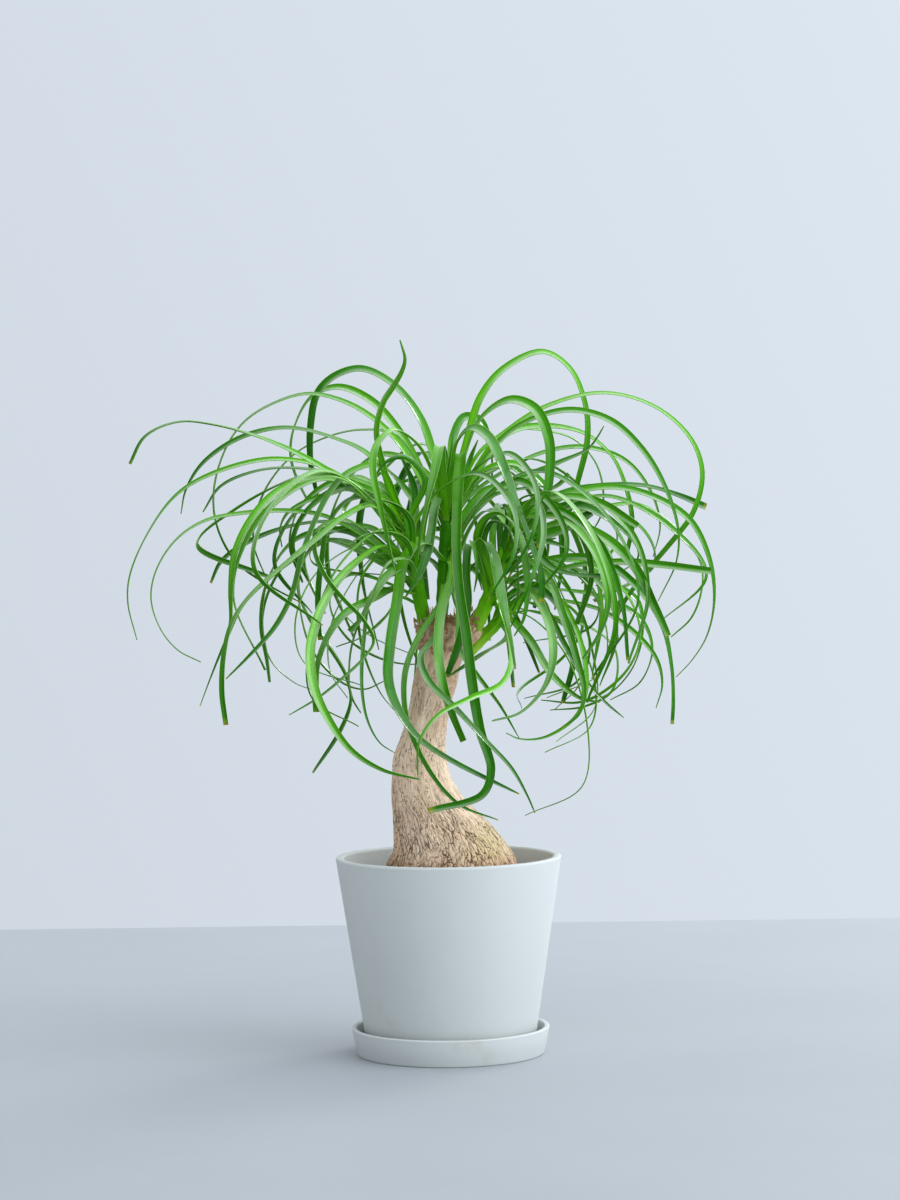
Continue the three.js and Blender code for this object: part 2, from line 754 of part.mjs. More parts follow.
// Place in millimetres of a pixel of the photograph, on the upright plane at a depth.
function seen(across, down, depth) {
  const roll = THREE.MathUtils.degToRad(VIEW.roll);
  const tilt = THREE.MathUtils.degToRad(VIEW.tilt);
  const right = across - VIEW.middle[0];
  const below = down - VIEW.middle[1];
  const u = (right * Math.cos(roll) - below * Math.sin(roll)) / VIEW.focal;
  const v = -(right * Math.sin(roll) + below * Math.cos(roll)) / VIEW.focal;
  const ahead = (depth + VIEW.distance) / (Math.cos(tilt) + v * Math.sin(tilt));
  const up = ahead * (v * Math.cos(tilt) - Math.sin(tilt));
  return new THREE.Vector3(VIEW.x + u * ahead, depth, VIEW.height + up);
}

function onShoot(head, share) {
  const { foot, top } = SHOOTS[head];
  return new THREE.Vector3(...foot).lerp(new THREE.Vector3(...top), share);
}

// How far out a leaf is at a share of its length: fast at first, then hanging.
function outward(share) {
  return Math.sin((share * Math.PI) / 2);
}

// Points that a leaf of the photograph passes, its depth shifted by aside millimetres.
function shownPoints(head, leaf, aside) {
  const root = onShoot(head, leaf.from);
  const flat = [root];
  for (let i = 0; i < leaf.path.length; i += 2) flat.push(seen(leaf.path[i], leaf.path[i + 1], root.y));
  const run = [0];
  for (let i = 1; i < flat.length; i += 1) run.push(run[i - 1] + flat[i].distanceTo(flat[i - 1]));
  const whole = run[run.length - 1];
  return flat.map((point, i) => {
    if (i === 0) return point;
    const depth = root.y + (leaf.back + aside) * outward(run[i] / whole);
    return seen(leaf.path[2 * i - 2], leaf.path[2 * i - 1], depth);
  });
}

// Evenly spread number from 0 to 1 for the i-th leaf of a head.
const FIRST_DRAWN = 0.5;

function drawn(i, step) {
  return (FIRST_DRAWN + i * step) % 1;
}

function between([low, high], share) {
  return low + (high - low) * share;
}

// A filling leaf: rises from the shoot, arches over its crest and hangs, bending sideways as it goes.
function filledLeaf(head, i) {
  const { toward, spread, reach, rise } = FILLED[head];
  const ranges = { ...FILL_RANGE, reach, rise };
  const leaf = {};
  for (const measure of Object.keys(FILL_STEP)) {
    leaf[measure] = between(ranges[measure], drawn(i, FILL_STEP[measure]));
  }
  return { ...leaf, heading: toward + spread * leaf.turn };
}

function filledPoints(head, leaf, aside) {
  const root = onShoot(head, leaf.from);
  const side = ARCH.map((share) => ({
    out: share.out * leaf.reach,
    up: share.rise * leaf.rise + share.reach * leaf.reach + share.hang * leaf.hang,
  }));
  side.push({ out: leaf.inward * leaf.reach, up: leaf.rise - leaf.hang });
  return side.map(({ out, up }, i) => {
    const turned = leaf.heading + aside / 2 + (leaf.bend * i) / (side.length - 1);
    const heading = THREE.MathUtils.degToRad(turned);
    const away = new THREE.Vector3(out * Math.cos(heading), out * Math.sin(heading), up);
    return away.add(root);
  });
}

// The leaf's middle line in straight stretches, shorter where it turns: its points, each with its share
// of the whole length.
function middleLine(route) {
  const curve = new THREE.CatmullRomCurve3(route, false, "centripetal");
  const fine = curve.getSpacedPoints(CURVE_STEPS);
  const heading = (i) => fine[i + 1].clone().sub(fine[i]);
  const weight = [0];
  for (let i = 1; i <= CURVE_STEPS; i += 1) {
    const turn = i < CURVE_STEPS ? heading(i - 1).angleTo(heading(i)) / Math.PI : 0;
    weight.push(weight[i - 1] + 1 / CURVE_STEPS + TURN_WEIGHT * turn);
  }
  const wanted = Math.round(curve.getLength() / BLADE.stretch);
  const count = THREE.MathUtils.clamp(wanted, BLADE.fewest, BLADE.most);
  const points = [];
  const shares = [];
  for (let k = 0, i = 0; k <= count; k += 1) {
    const aim = (weight[CURVE_STEPS] * k) / count;
    while (i < CURVE_STEPS - 1 && weight[i + 1] < aim) i += 1;
    const part = Math.min(1, (aim - weight[i]) / (weight[i + 1] - weight[i]));
    points.push(fine[i].clone().lerp(fine[i + 1], part));
    shares.push((i + part) / CURVE_STEPS);
  }
  return { points, shares };
}

// Half width of a leaf at a share of its length: clasping root, even strap, narrowing or cut tip.
function halfWidth(leaf, share) {
  const root = between([TAPER.root, 1], Math.min(1, share / TAPER.rootShare));
  const past = Math.max(0, share - TAPER.tipShare) / (1 - TAPER.tipShare);
  return (leaf.wide / 2) * root * between([1, leaf.tip ?? TAPER.tip], past ** TAPER.tipPower);
}

// Blades that keep clear of each other

function nearest(point, start, end) {
  const along = new THREE.Vector3().subVectors(end, start);
  const share = THREE.MathUtils.clamp(
    new THREE.Vector3().subVectors(point, start).dot(along) / along.lengthSq(),
    0,
    1,
  );
  return start.clone().addScaledVector(along, share).distanceTo(point);
}

// Points every few millimetres on a middle line, with the blade's half width there.
function feelers(leaf, { points, shares }) {
  const all = [];
  for (let i = 1; i < points.length; i += 1) {
    for (let k = 1; k <= PASS.feelers; k += 1) {
      const part = k / PASS.feelers;
      const share = between([shares[i - 1], shares[i]], part);
      const half = halfWidth(leaf, share);
      all.push({ at: points[i - 1].clone().lerp(points[i], part), half });
    }
  }
  return all;
}

function clearOfPlant(head, felt) {
  const low = TRUNK_LEVELS[0].z;
  const high = TRUNK_LEVELS[TRUNK_LEVELS.length - 1].z + PASS.trunk;
  return felt.every(({ at, half }) => {
    if (at.z < POT.rimHeight + PASS.rim) return false;
    if (at.z > low && at.z < high) {
      const across = (at.x - level("x", at.z)) / (level("across", at.z) + half + PASS.trunk);
      const deep = (at.y - level("y", at.z)) / (level("deep", at.z) + half + PASS.trunk);
      if (Math.hypot(across, deep) < 1) return false;
    }
    return Object.keys(SHOOTS).every((other) => {
      if (other === head) return true;
      const gap = nearest(at, onShoot(other, 0), onShoot(other, 1));
      return gap > SHOOTS[other].radii[0] + half + PASS.blade;
    });
  });
}

function clearOfOthers(head, felt, placed) {
  return placed.every((other) => {
    if (other.head === head) return true;
    return felt.every(({ at, half }) =>
      other.felt.every((their) => at.distanceTo(their.at) > half + their.half + PASS.blade),
    );
  });
}

// Places a leaf at the first sideways shift that keeps it clear, or nowhere.
function place(placed, head, leaf, route) {
  for (const aside of ASIDE) {
    const line = middleLine(route(head, leaf, aside));
    const felt = feelers(leaf, line);
    if (clearOfPlant(head, felt) && clearOfOthers(head, felt, placed)) {
      placed.push({ head, leaf, line, felt });
      return true;
    }
  }
  return false;
}

function growLeaves() {
  const placed = [];
  for (const head of Object.keys(SHOWN)) {
    for (const leaf of SHOWN[head]) {
      if (!place(placed, head, leaf, shownPoints)) throw new Error(`no room for ${leaf.path}`);
    }
  }
  for (const head of Object.keys(FILLED)) {
    for (let i = 0; i < FILLED[head].count; i += 1) {
      place(placed, head, filledLeaf(head, i), filledPoints);
    }
  }
  return placed;
}

// Directions across the blade along its middle line, level at the root and turned evenly with it.
function bladeFrames(leaf, { points, shares }) {
  const last = points.length - 1;
  const out = points[Math.ceil(last / 2)].clone().sub(points[0]);
  const sideways = out.x / Math.hypot(out.x, out.y);
  let side = new THREE.Vector3(-out.y, out.x, 0).normalize();
  return points.map((point, i) => {
    const ahead = points[Math.min(i + 1, last)];
    const tangent = ahead.clone().sub(points[Math.max(i - 1, 0)]).normalize();
    side = side.clone().addScaledVector(tangent, -side.dot(tangent)).normalize();
    const share = sideways * Math.min(1, shares[i] / TURN.share) + TURN.twist * shares[i];
    const roll = THREE.MathUtils.degToRad(leaf.roll * share);
    const across = side.clone().applyAxisAngle(tangent, roll);
    return { point, across, face: new THREE.Vector3().crossVectors(tangent, across) };
  });
}

// One blade: a three-sided strap, flat above and keeled below, bent along its middle line.
function bladeShape(leaf, line) {
  const frames = bladeFrames(leaf, line);
  const last = frames.length - 1;
  const shape = new THREE.CylinderGeometry(1, 1, 1, 3, last);
  const place = shape.attributes.position;
  const corners = [
    { across: 1, face: 0.5 },
    { across: -1, face: 0.5 },
    { across: 0, face: -0.5 },
  ];
  for (let i = 0; i < place.count; i += 1) {
    const step = Math.round((place.getY(i) + 0.5) * last);
    const { point, across, face } = frames[step];
    const turn = Math.atan2(place.getX(i), place.getZ(i)) / (2 * Math.PI);
    const onAxis = Math.hypot(place.getX(i), place.getZ(i)) < 0.5;
    const corner = onAxis ? { across: 0, face: 0 } : corners[Math.round(turn * 3 + 3) % 3];
    const half = halfWidth(leaf, line.shares[step]);
    const spot = point
      .clone()
      .addScaledVector(across, corner.across * half)
      .addScaledVector(face, corner.face * BLADE.thick);
    place.setXYZ(i, spot.x, spot.y, spot.z);
  }
  return shape;
}

// Green stem of a head, from the trunk's crown to the youngest leaves.
function stemShape(head) {
  const { foot, top, radii } = SHOOTS[head];
  const axis = new THREE.Vector3(...top).sub(new THREE.Vector3(...foot));
  const stem = new THREE.CylinderGeometry(radii[1], radii[0], axis.length(), STEM_SIDES, 1);
  stem.translate(0, axis.length() / 2, 0);
  stem.applyQuaternion(
    new THREE.Quaternion().setFromUnitVectors(new THREE.Vector3(0, 1, 0), axis.normalize()),
  );
  stem.translate(...foot);
  return stem;
}

// A body with its vertices on a fine grid and the slivers gone that this closes, or null where the
// surface would pinch itself.
function onGrid(body) {
  const mesh = body.getMesh();
  const ids = new Map();
  const spots = [];
  const idOf = (vertex) => {
    const spot = Array.from(mesh.vertProperties.subarray(3 * vertex, 3 * vertex + 3), (value) =>
      Math.round(value / FINE_GRID),
    );
    const key = spot.join();
    if (!ids.has(key)) {
      ids.set(key, ids.size);
      spots.push(...spot.map((value) => value * FINE_GRID));
    }
    return ids.get(key);
  };
  const faces = [];
  const edges = new Set();
  for (let i = 0; i < mesh.triVerts.length; i += 3) {
    const face = [0, 1, 2].map((k) => idOf(mesh.triVerts[i + k]));
    if (new Set(face).size < 3) continue;
    faces.push(...face);
    for (let k = 0; k < 3; k += 1) {
      const edge = `${face[k]}>${face[(k + 1) % 3]}`;
      if (edges.has(edge)) return null;
      edges.add(edge);
    }
  }
  return new wasm.Manifold(
    new wasm.Mesh({
      numProp: 3,
      vertProperties: Float32Array.from(spots),
      triVerts: Uint32Array.from(faces),
    }),
  );
}

// The largest of a body's shells: any hollow that the blades seal is filled and a loose scrap dropped.
function filled(body) {
  const shells = body.decompose().sort((a, b) => b.volume() - a.volume());
  return shells[0];
}

// A head's stem with its blades joined one by one, each set a hair higher or lower where two of them
// would meet in a pinch.
function headShape(head, leaves, crown) {
  let body = solid(stemShape(head)).subtract(crown);
  for (const { leaf, line } of leaves) {
    const blade = solid(bladeShape(leaf, line));
    for (const lift of HAIR_LIFTS) {
      const joined = body.add(blade.translate(0, 0, lift)).simplify(SLIVER);
      if (!onGrid(joined)) continue;
      body = filled(joined);
      break;
    }
  }
  return geometryOf(filled(onGrid(body)));
}

// The whole plant

const palm = new THREE.Group();
palm.name = "potted_ponytail_palm";
palm.add(named("saucer", saucerShape(), finish.pot));
palm.add(named("pot", potShape(), finish.pot));
palm.add(named("soil", soilShape(), finish.soil));
palm.add(named("trunk", trunkShape(), finish.bark));

const leaves = growLeaves();
const crown = solid(trunkShape(CLEARANCE));
for (const head of Object.keys(SHOOTS)) {
  const own = leaves.filter((placed) => placed.head === head);
  palm.add(named(head, headShape(head, own, crown), finish.leaf));
}

export default palm;
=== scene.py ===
# A potted ponytail palm: curved woody trunk with a swollen, cracked foot, four leafy shoots of arching
# strap leaves, crumbly soil, and a matt tapered pot on its saucer. Dimensions are in millimetres where
# a name doesn't say otherwise, and every mesh is in metres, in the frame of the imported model.
import math
from collections import namedtuple

import bpy
import numpy as np
from bpy.props import FloatProperty, FloatVectorProperty, IntProperty, PointerProperty
from mathutils import Matrix, Vector, noise


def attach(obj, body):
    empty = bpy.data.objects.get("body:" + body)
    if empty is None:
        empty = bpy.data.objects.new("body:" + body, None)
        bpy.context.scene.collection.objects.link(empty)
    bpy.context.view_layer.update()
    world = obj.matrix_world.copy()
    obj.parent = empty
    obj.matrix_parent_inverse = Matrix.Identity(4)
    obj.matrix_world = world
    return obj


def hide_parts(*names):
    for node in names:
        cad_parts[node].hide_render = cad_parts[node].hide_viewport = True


bl_info = {
    "name": "Potted Ponytail Palm",
    "version": (1, 0, 0),
    "blender": (4, 5, 0),
    "location": "View3D > Sidebar > Ponytail Palm",
    "description": "Builds a ponytail palm in its pot, leaf by leaf",
    "category": "Add Mesh",
}

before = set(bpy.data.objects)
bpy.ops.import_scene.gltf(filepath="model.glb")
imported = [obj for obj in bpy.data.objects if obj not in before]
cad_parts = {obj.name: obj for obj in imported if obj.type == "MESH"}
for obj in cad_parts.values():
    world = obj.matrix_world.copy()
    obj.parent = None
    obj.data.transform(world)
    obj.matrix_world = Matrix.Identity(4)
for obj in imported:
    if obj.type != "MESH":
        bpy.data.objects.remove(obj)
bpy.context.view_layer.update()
MM = 0.001

# Pot and saucer: radii, heights, walls and the saucer's share of the edge rounding; soil: how far it lies
# below the rim, its bank at the wall, its dip, and the depth and draft of the piece that shows it
SAUCER = {"foot": 83, "rim": 87.8, "height": 24, "floor": 4, "wall": 4.6, "rounding": 0.55}
POT = {"rim": 100, "foot": 74, "height": 175, "wall": 7.4, "floor": 9, "drain": 7}
SOIL = {"below_rim": 25, "bank": 3, "bank_share": 0.14, "dip": 1, "deep": 0.4, "draft": 0.93}
CLEARANCE = 0.3

# Lumps of the soil: size of the large, the middle and the small ones, and the noise's layer for each
SOIL_LUMPS = [(21, 0), (6, 5), (2.2, 9)]

# Trunk, level by level: height, middle across and in depth, half width, half depth
Level = namedtuple("Level", "z x y across deep")
TRUNK_LEVELS = [
    Level(118, 5, 0, 42, 40),
    Level(136, 4, 0, 58, 54),
    Level(152, 3, 0, 60.5, 56),
    Level(169, 3, 0, 57.3, 53),
    Level(182, 2.4, 0, 51.3, 48),
    Level(197, -3.6, 0, 45.1, 42),
    Level(211, -9.9, 0, 39.2, 37),
    Level(225, -17.5, 0, 32, 31),
    Level(244, -22.5, 0, 26.5, 26),
    Level(265, -23.4, 0, 22.9, 23),
    Level(294, -17.8, 0, 18.1, 18.5),
    Level(323, -11.5, 0, 19, 18),
    Level(345, -6, 1, 19, 17.5),
    Level(358, -1.5, 2, 21.3, 18),
    Level(368, 3.6, 2, 27, 20),
    Level(379, 3.4, 2, 27.4, 19),
    Level(386, 2.5, 2, 20, 14),
]

# Viewing point of the photograph: pixels in its 900 x 1200 frame, millimetres and degrees
VIEW = {"focal": 3400, "middle": (450, 600), "x": 4.4, "distance": 3002, "height": 495.7}
VIEW_TILT = math.radians(1.8)
VIEW_ROLL = math.radians(0.76)
FRAME_LONG_SIDE = 1200
SENSOR = 36

# Blades: length of one straight stretch of the solid leaves, the fewest and the most stretches; how a
# blade narrows at its root and tip, and how it turns
BLADE = {"stretch": 38, "fewest": 5, "most": 12}
TAPER = {"root": 0.62, "root_share": 0.12, "tip": 0.15, "tip_share": 0.52, "tip_power": 1.5}
TURN = {"share": 0.25, "twist": 0.3}

# Middle lines: steps along the solid and the fine one, divisions that their length is measured by, and how
# much shorter the stretches are where a leaf turns
CURVE_STEPS = 72
FINE_STEPS = 288
ARC_DIVISIONS = 200
TURN_WEIGHT = 1.2

# Rests that a blade keeps from other blades, the trunk and the rim, and its feelers to one stretch
PASS = {"blade": 3, "trunk": 5, "rim": 12, "feelers": 7}

# Leafy shoots: foot and top of each green stem, and its radii
Shoot = namedtuple("Shoot", "foot top radii")
SHOOTS = {
    "head_left": Shoot((-17, -2, 374), (-36, -10, 480), (7.6, 4.5)),
    "head_middle": Shoot((-4, 7, 376), (5, 17, 505), (7, 4.5)),
    "head_right": Shoot((23, -3, 370), (64, -10, 458), (8, 4.5)),
    "head_low": Shoot((18, 8, 352), (78, 28, 412), (6.5, 4)),
}

# Leaves that the photograph shows, from root to tip: the root's place on the shoot, the blade's width,
# how far the tip lies behind the shoot, the turn of the blade in degrees, the places in the
# photograph's frame that it passes, each across and then down, and the width of a cut end as a share of
# the blade's
Leaf = namedtuple("Leaf", "start wide back roll path tip", defaults=[TAPER["tip"]])
SHOWN = {
    "head_left": [
        Leaf(0.8, 7, -35, 40, (
            337, 477, 300, 455, 258, 437, 215, 425, 178, 422, 145, 437, 130, 464,
        ), 0.45),
        Leaf(0.9, 7, 50, 35, (372, 458, 330, 437, 285, 428, 240, 438, 203, 463, 186, 490, 181, 514)),
        Leaf(0.7, 5, 20, 36, (
            337, 474, 280, 459, 225, 469, 180, 492, 149, 531, 130, 575, 128, 603, 137, 640,
        )),
        Leaf(0.75, 7, 75, 42, (345, 480, 290, 468, 250, 473, 220, 487, 203, 512)),
        Leaf(0.6, 7, -95, 44, (
            345, 480, 315, 477, 278, 491, 252, 518, 235, 553, 231, 590, 231, 620, 226, 643,
        ), 0.5),
        Leaf(0.5, 5, -20, 35, (
            330, 518, 290, 511, 245, 513, 205, 521, 177, 539, 157, 568,
            151, 598, 160, 628, 178, 650, 201, 662,
        )),
        Leaf(0.45, 7.5, 90, 46, (
            365, 533, 338, 523, 310, 523, 275, 531, 243, 545, 221, 562, 211, 583,
        ), 0.45),
        Leaf(1, 7, -45, 54, (
            392, 495, 380, 455, 376, 430, 383, 402, 394, 385, 402, 371, 405, 359, 400, 340,
        )),
        Leaf(0.6, 6, -120, 42, (
            372, 506, 345, 516, 315, 540, 282, 567, 250, 596, 232, 623, 224, 655, 222, 692, 226, 725,
        ), 0.7),
        Leaf(0.4, 4.5, 40, 42, (340, 540, 300, 557, 268, 580, 243, 605, 228, 636, 213, 672, 200, 706)),
        Leaf(0.35, 7, 110, 50, (
            350, 532, 303, 536, 283, 552, 270, 575, 263, 600, 262, 630, 267, 658, 270, 682,
        ), 0.6),
        Leaf(0.95, 7, -70, 48, (
            380, 466, 352, 471, 333, 488, 318, 515, 303, 553, 292, 595, 275, 627, 250, 655, 226, 679,
        )),
        Leaf(0.55, 8.5, -150, 52, (
            385, 546, 357, 562, 333, 588, 317, 620, 310, 655, 315, 690,
            330, 722, 352, 751, 383, 770, 419, 779,
        )),
        Leaf(0.3, 7.5, -70, 50, (
            395, 589, 372, 599, 345, 614, 328, 637, 318, 665, 316, 690, 317, 712,
        ), 0.85),
        Leaf(0.25, 6, 60, 50, (
            398, 575, 375, 590, 360, 620, 351, 650, 349, 680, 351, 703, 340, 732, 313, 773,
        ), 0.8),
        Leaf(0.5, 7, 130, 50, (
            370, 528, 330, 533, 304, 560, 299, 590, 308, 615, 327, 643, 345, 673, 353, 700, 361, 713,
        )),
        Leaf(0.45, 5, -100, 42, (
            345, 520, 318, 530, 315, 550, 327, 578, 345, 600, 364, 620,
            374, 641, 365, 657, 343, 678, 318, 698, 289, 715,
        )),
        Leaf(0.65, 9.5, -95, 56, (
            420, 539, 404, 560, 397, 600, 390, 645, 388, 680, 397, 708, 418, 738, 450, 760, 519, 794,
        )),
        Leaf(0.35, 7.5, -55, 50, (403, 568, 388, 575, 373, 597, 360, 621, 350, 632), 0.9),
        Leaf(0.7, 7, -20, 46, (385, 500, 350, 500, 330, 522, 322, 560, 318, 600, 320, 640), 0.5),
        Leaf(0.2, 4.5, 30, 42, (400, 598, 385, 618, 362, 637, 336, 647)),
        Leaf(0.3, 3.5, 60, 42, (350, 575, 330, 600, 345, 635, 380, 658, 415, 664, 440, 656)),
        Leaf(0.3, 3.5, -85, 42, (375, 590, 364, 640, 362, 690, 368, 722, 380, 743, 395, 753)),
        Leaf(0.4, 4.5, 85, 42, (
            330, 540, 300, 565, 299, 600, 308, 640, 322, 664, 345, 684, 365, 689, 384, 681,
        )),
        Leaf(0.4, 4.5, 140, 42, (320, 540, 285, 565, 266, 600, 263, 635, 272, 662, 295, 683, 313, 690)),
        Leaf(0.85, 5, 15, 42, (350, 490, 330, 494, 305, 502, 287, 514, 280, 530, 282, 547), 0.4),
        Leaf(0.55, 5.5, 60, 45, (430, 538, 440, 540, 448, 552, 453, 572)),
        Leaf(0.6, 6, -40, 45, (410, 520, 395, 505, 378, 500, 362, 505)),
        Leaf(0.75, 6.5, 40, 50, (415, 505, 402, 485, 388, 470, 380, 462)),
        Leaf(0.45, 6, -60, 40, (405, 540, 385, 533, 365, 535, 348, 545)),
        Leaf(0.85, 6, 15, 50, (415, 500, 412, 480, 405, 465, 400, 455)),
        Leaf(0.35, 6, -75, 45, (408, 560, 391, 562, 380, 577, 373, 598)),
        Leaf(0.9, 5.5, -30, 45, (425, 480, 405, 457, 385, 463, 373, 480)),
        Leaf(0.45, 6, 30, 45, (424, 558, 434, 551, 443, 556, 448, 571)),
        Leaf(0.6, 6, 20, 45, (425, 545, 433, 530, 442, 530, 450, 541)),
    ],
    "head_middle": [
        Leaf(0.75, 8.5, 35, 48, (
            433, 455, 420, 418, 395, 386, 362, 369, 335, 376, 318, 393, 311, 425, 311, 462, 318, 497,
        ), 0.6),
        Leaf(0.65, 7, 95, 46, (
            425, 480, 403, 437, 372, 401, 338, 387, 312, 397, 295, 425, 291, 455, 298, 480, 309, 502,
        ), 0.6),
        Leaf(0.6, 6, -10, 40, (
            405, 452, 378, 422, 345, 402, 308, 394, 270, 405, 243, 423,
            225, 450, 214, 490, 217, 525, 235, 560, 265, 583, 300, 602,
        )),
        Leaf(0.7, 7, -75, 50, (
            432, 472, 415, 442, 394, 430, 377, 445, 373, 468, 380, 505, 389, 545, 397, 577,
        )),
        Leaf(0.7, 8.5, -85, 58, (441, 462, 440, 446, 434, 475, 427, 505, 421, 535, 417, 560)),
        Leaf(0.8, 7.5, 70, 52, (
            451, 468, 453, 437, 464, 417, 480, 420, 490, 442, 492, 475, 490, 502,
        ), 0.6),
        Leaf(0.85, 7.5, 25, 46, (
            465, 448, 481, 397, 505, 368, 543, 352, 570, 369, 585, 405, 587, 440, 578, 480, 567, 520,
        ), 0.5),
        Leaf(0.8, 9.5, -70, 50, (
            463, 462, 480, 420, 510, 400, 535, 409, 549, 440, 549, 480, 541, 520, 538, 548,
        ), 0.6),
        Leaf(0.75, 11, -95, 54, (
            452, 475, 458, 440, 472, 428, 487, 436, 503, 467, 517, 508, 531, 545, 541, 575, 541, 602,
        ), 0.5),
        Leaf(0.7, 6, 15, 38, (
            478, 455, 500, 436, 545, 407, 603, 393, 655, 407, 690, 438,
            702, 472, 693, 512, 667, 547, 637, 583, 617, 617, 617, 640,
        ), 0.5),
        Leaf(0.65, 6, -45, 38, (
            482, 462, 515, 428, 567, 410, 610, 420, 643, 450, 666, 489, 678, 530, 676, 562, 658, 601,
        )),
        Leaf(0.6, 7.5, 60, 44, (
            478, 470, 508, 433, 545, 426, 585, 434, 612, 457, 627, 492, 632, 525, 627, 552,
        ), 0.5),
        Leaf(0.4, 5, 110, 38, (
            462, 506, 505, 471, 545, 452, 585, 447, 625, 460, 650, 490, 660, 525, 653, 557,
        )),
        Leaf(0.8, 10, -125, 60, (
            460, 470, 461, 453, 458, 500, 457, 545, 460, 590, 467, 635,
            472, 680, 480, 730, 491, 770, 482, 795, 428, 811,
        ), 0.5),
        Leaf(0.5, 8.5, -100, 56, (
            452, 565, 452, 577, 442, 608, 438, 645, 442, 680, 452, 712, 464, 741,
        ), 0.8),
        Leaf(0.45, 6, -80, 52, (
            455, 575, 440, 605, 420, 635, 406, 670, 405, 705, 413, 737, 434, 777, 460, 805, 498, 820,
        )),
        Leaf(0.35, 6, -75, 50, (
            436, 635, 421, 657, 428, 680, 455, 708, 485, 740, 512, 769, 528, 797, 535, 813,
        )),
        Leaf(0.4, 4.5, -60, 46, (457, 600, 460, 650, 475, 672, 500, 705, 519, 738)),
        Leaf(0.7, 4.5, 60, 40, (
            395, 436, 362, 430, 330, 436, 296, 453, 270, 482, 256, 515, 254, 545, 267, 580,
        )),
        Leaf(0.75, 4.5, 95, 40, (505, 433, 545, 431, 575, 440, 595, 462, 603, 490, 601, 515, 590, 535)),
        Leaf(0.95, 7.5, 8, 58, (446, 475, 445, 446)),
        Leaf(0.9, 9, -60, 58, (450, 492, 444, 489, 436, 505, 432, 530, 427, 555, 418, 578, 405, 598)),
        Leaf(0.8, 6.5, -15, 50, (447, 500, 451, 465, 452, 445, 453, 430)),
        Leaf(0.85, 6, 20, 45, (458, 500, 466, 478, 470, 460, 478, 440)),
        Leaf(0.75, 6, -40, 45, (462, 505, 475, 482, 488, 470, 505, 468)),
        Leaf(0.5, 5, -55, 40, (470, 520, 480, 505, 500, 493, 520, 489, 546, 486)),
        Leaf(0.35, 6, 10, 45, (440, 570, 430, 560, 420, 558, 408, 566)),
        Leaf(0.45, 6, 25, 45, (438, 555, 428, 544, 418, 547, 410, 560)),
        Leaf(0.3, 6, 15, 45, (455, 575, 466, 566, 476, 572, 482, 590)),
    ],
    "head_right": [
        Leaf(0.8, 7, 60, 48, (535, 510, 565, 493, 605, 486, 645, 486, 680, 496, 706, 507), 0.9),
        Leaf(0.5, 7, -35, 46, (545, 575, 575, 566, 620, 562, 665, 565, 711, 571), 0.85),
        Leaf(0.75, 6, 20, 40, (
            560, 500, 610, 487, 655, 497, 690, 520, 709, 558, 714, 598, 707, 635, 692, 660, 676, 677,
        )),
        Leaf(0.7, 5, 85, 40, (
            560, 520, 600, 508, 640, 505, 680, 532, 701, 565, 701, 592, 691, 618, 671, 637,
        )),
        Leaf(0.8, 9, -55, 48, (530, 535, 565, 523, 605, 538, 635, 567, 655, 607, 668, 636), 0.65),
        Leaf(0.6, 7, -15, 46, (
            545, 560, 600, 560, 640, 590, 662, 625, 671, 665, 673, 700, 672, 724,
        ), 0.5),
        Leaf(0.85, 7.5, -95, 48, (
            510, 525, 535, 516, 565, 520, 590, 545, 605, 578, 608, 605, 600, 633, 583, 659,
        ), 0.3),
        Leaf(0.7, 7, -90, 50, (525, 560, 548, 578, 563, 615, 576, 655, 584, 692, 578, 715, 562, 727)),
        Leaf(0.65, 4.5, -50, 46, (
            530, 575, 560, 600, 580, 640, 586, 690, 575, 717, 545, 737, 520, 739, 506, 733,
        )),
        Leaf(0.6, 7.5, -110, 52, (515, 585, 535, 597, 550, 628, 553, 660, 545, 687, 520, 713, 492, 721)),
        Leaf(0.9, 5, 45, 50, (515, 485, 553, 465, 588, 449, 597, 438, 604, 426)),
        Leaf(0.95, 6, -25, 54, (520, 500, 545, 492, 560, 484, 569, 474), 0.7),
        Leaf(0.75, 9, 10, 54, (515, 546, 540, 537, 570, 525, 592, 513), 0.9),
        Leaf(0.7, 6, -70, 50, (530, 545, 541, 557, 555, 569, 585, 576, 612, 575), 0.75),
        Leaf(0.95, 8.5, -40, 48, (515, 512, 540, 500, 575, 497, 605, 505, 638, 526), 0.6),
        Leaf(0.45, 10.5, -95, 54, (
            489, 575, 480, 549, 484, 541, 492, 552, 500, 590, 507, 625, 513, 655, 515, 669,
        ), 0.5),
        Leaf(0.4, 5, -115, 54, (
            496, 590, 498, 600, 509, 635, 511, 664, 501, 684, 470, 698, 437, 716, 419, 743, 418, 775,
        )),
        Leaf(0.55, 8.5, -85, 54, (
            486, 560, 478, 537, 486, 519, 500, 514, 517, 530, 525, 562, 527, 595, 523, 620, 514, 636,
        )),
        Leaf(0.4, 9.5, -70, 56, (
            485, 578, 478, 552, 470, 545, 467, 575, 468, 602, 463, 630, 455, 655, 447, 677,
        ), 0.5),
        Leaf(0.5, 5, 40, 42, (
            560, 560, 600, 570, 630, 600, 640, 635, 630, 665, 607, 689, 580, 702, 541, 700,
        )),
        Leaf(0.4, 6, 100, 42, (540, 565, 600, 580, 637, 600, 642, 632, 634, 665, 614, 690, 600, 698)),
        Leaf(0.5, 7.5, -60, 50, (
            491, 568, 484, 542, 493, 522, 506, 526, 515, 548, 518, 575, 517, 598, 511, 613,
        )),
        Leaf(0.35, 5, -50, 45, (481, 570, 474, 546, 472, 541, 476, 555, 477, 575, 474, 592)),
        Leaf(0.5, 6, -45, 45, (500, 588, 515, 568, 527, 556, 541, 548)),
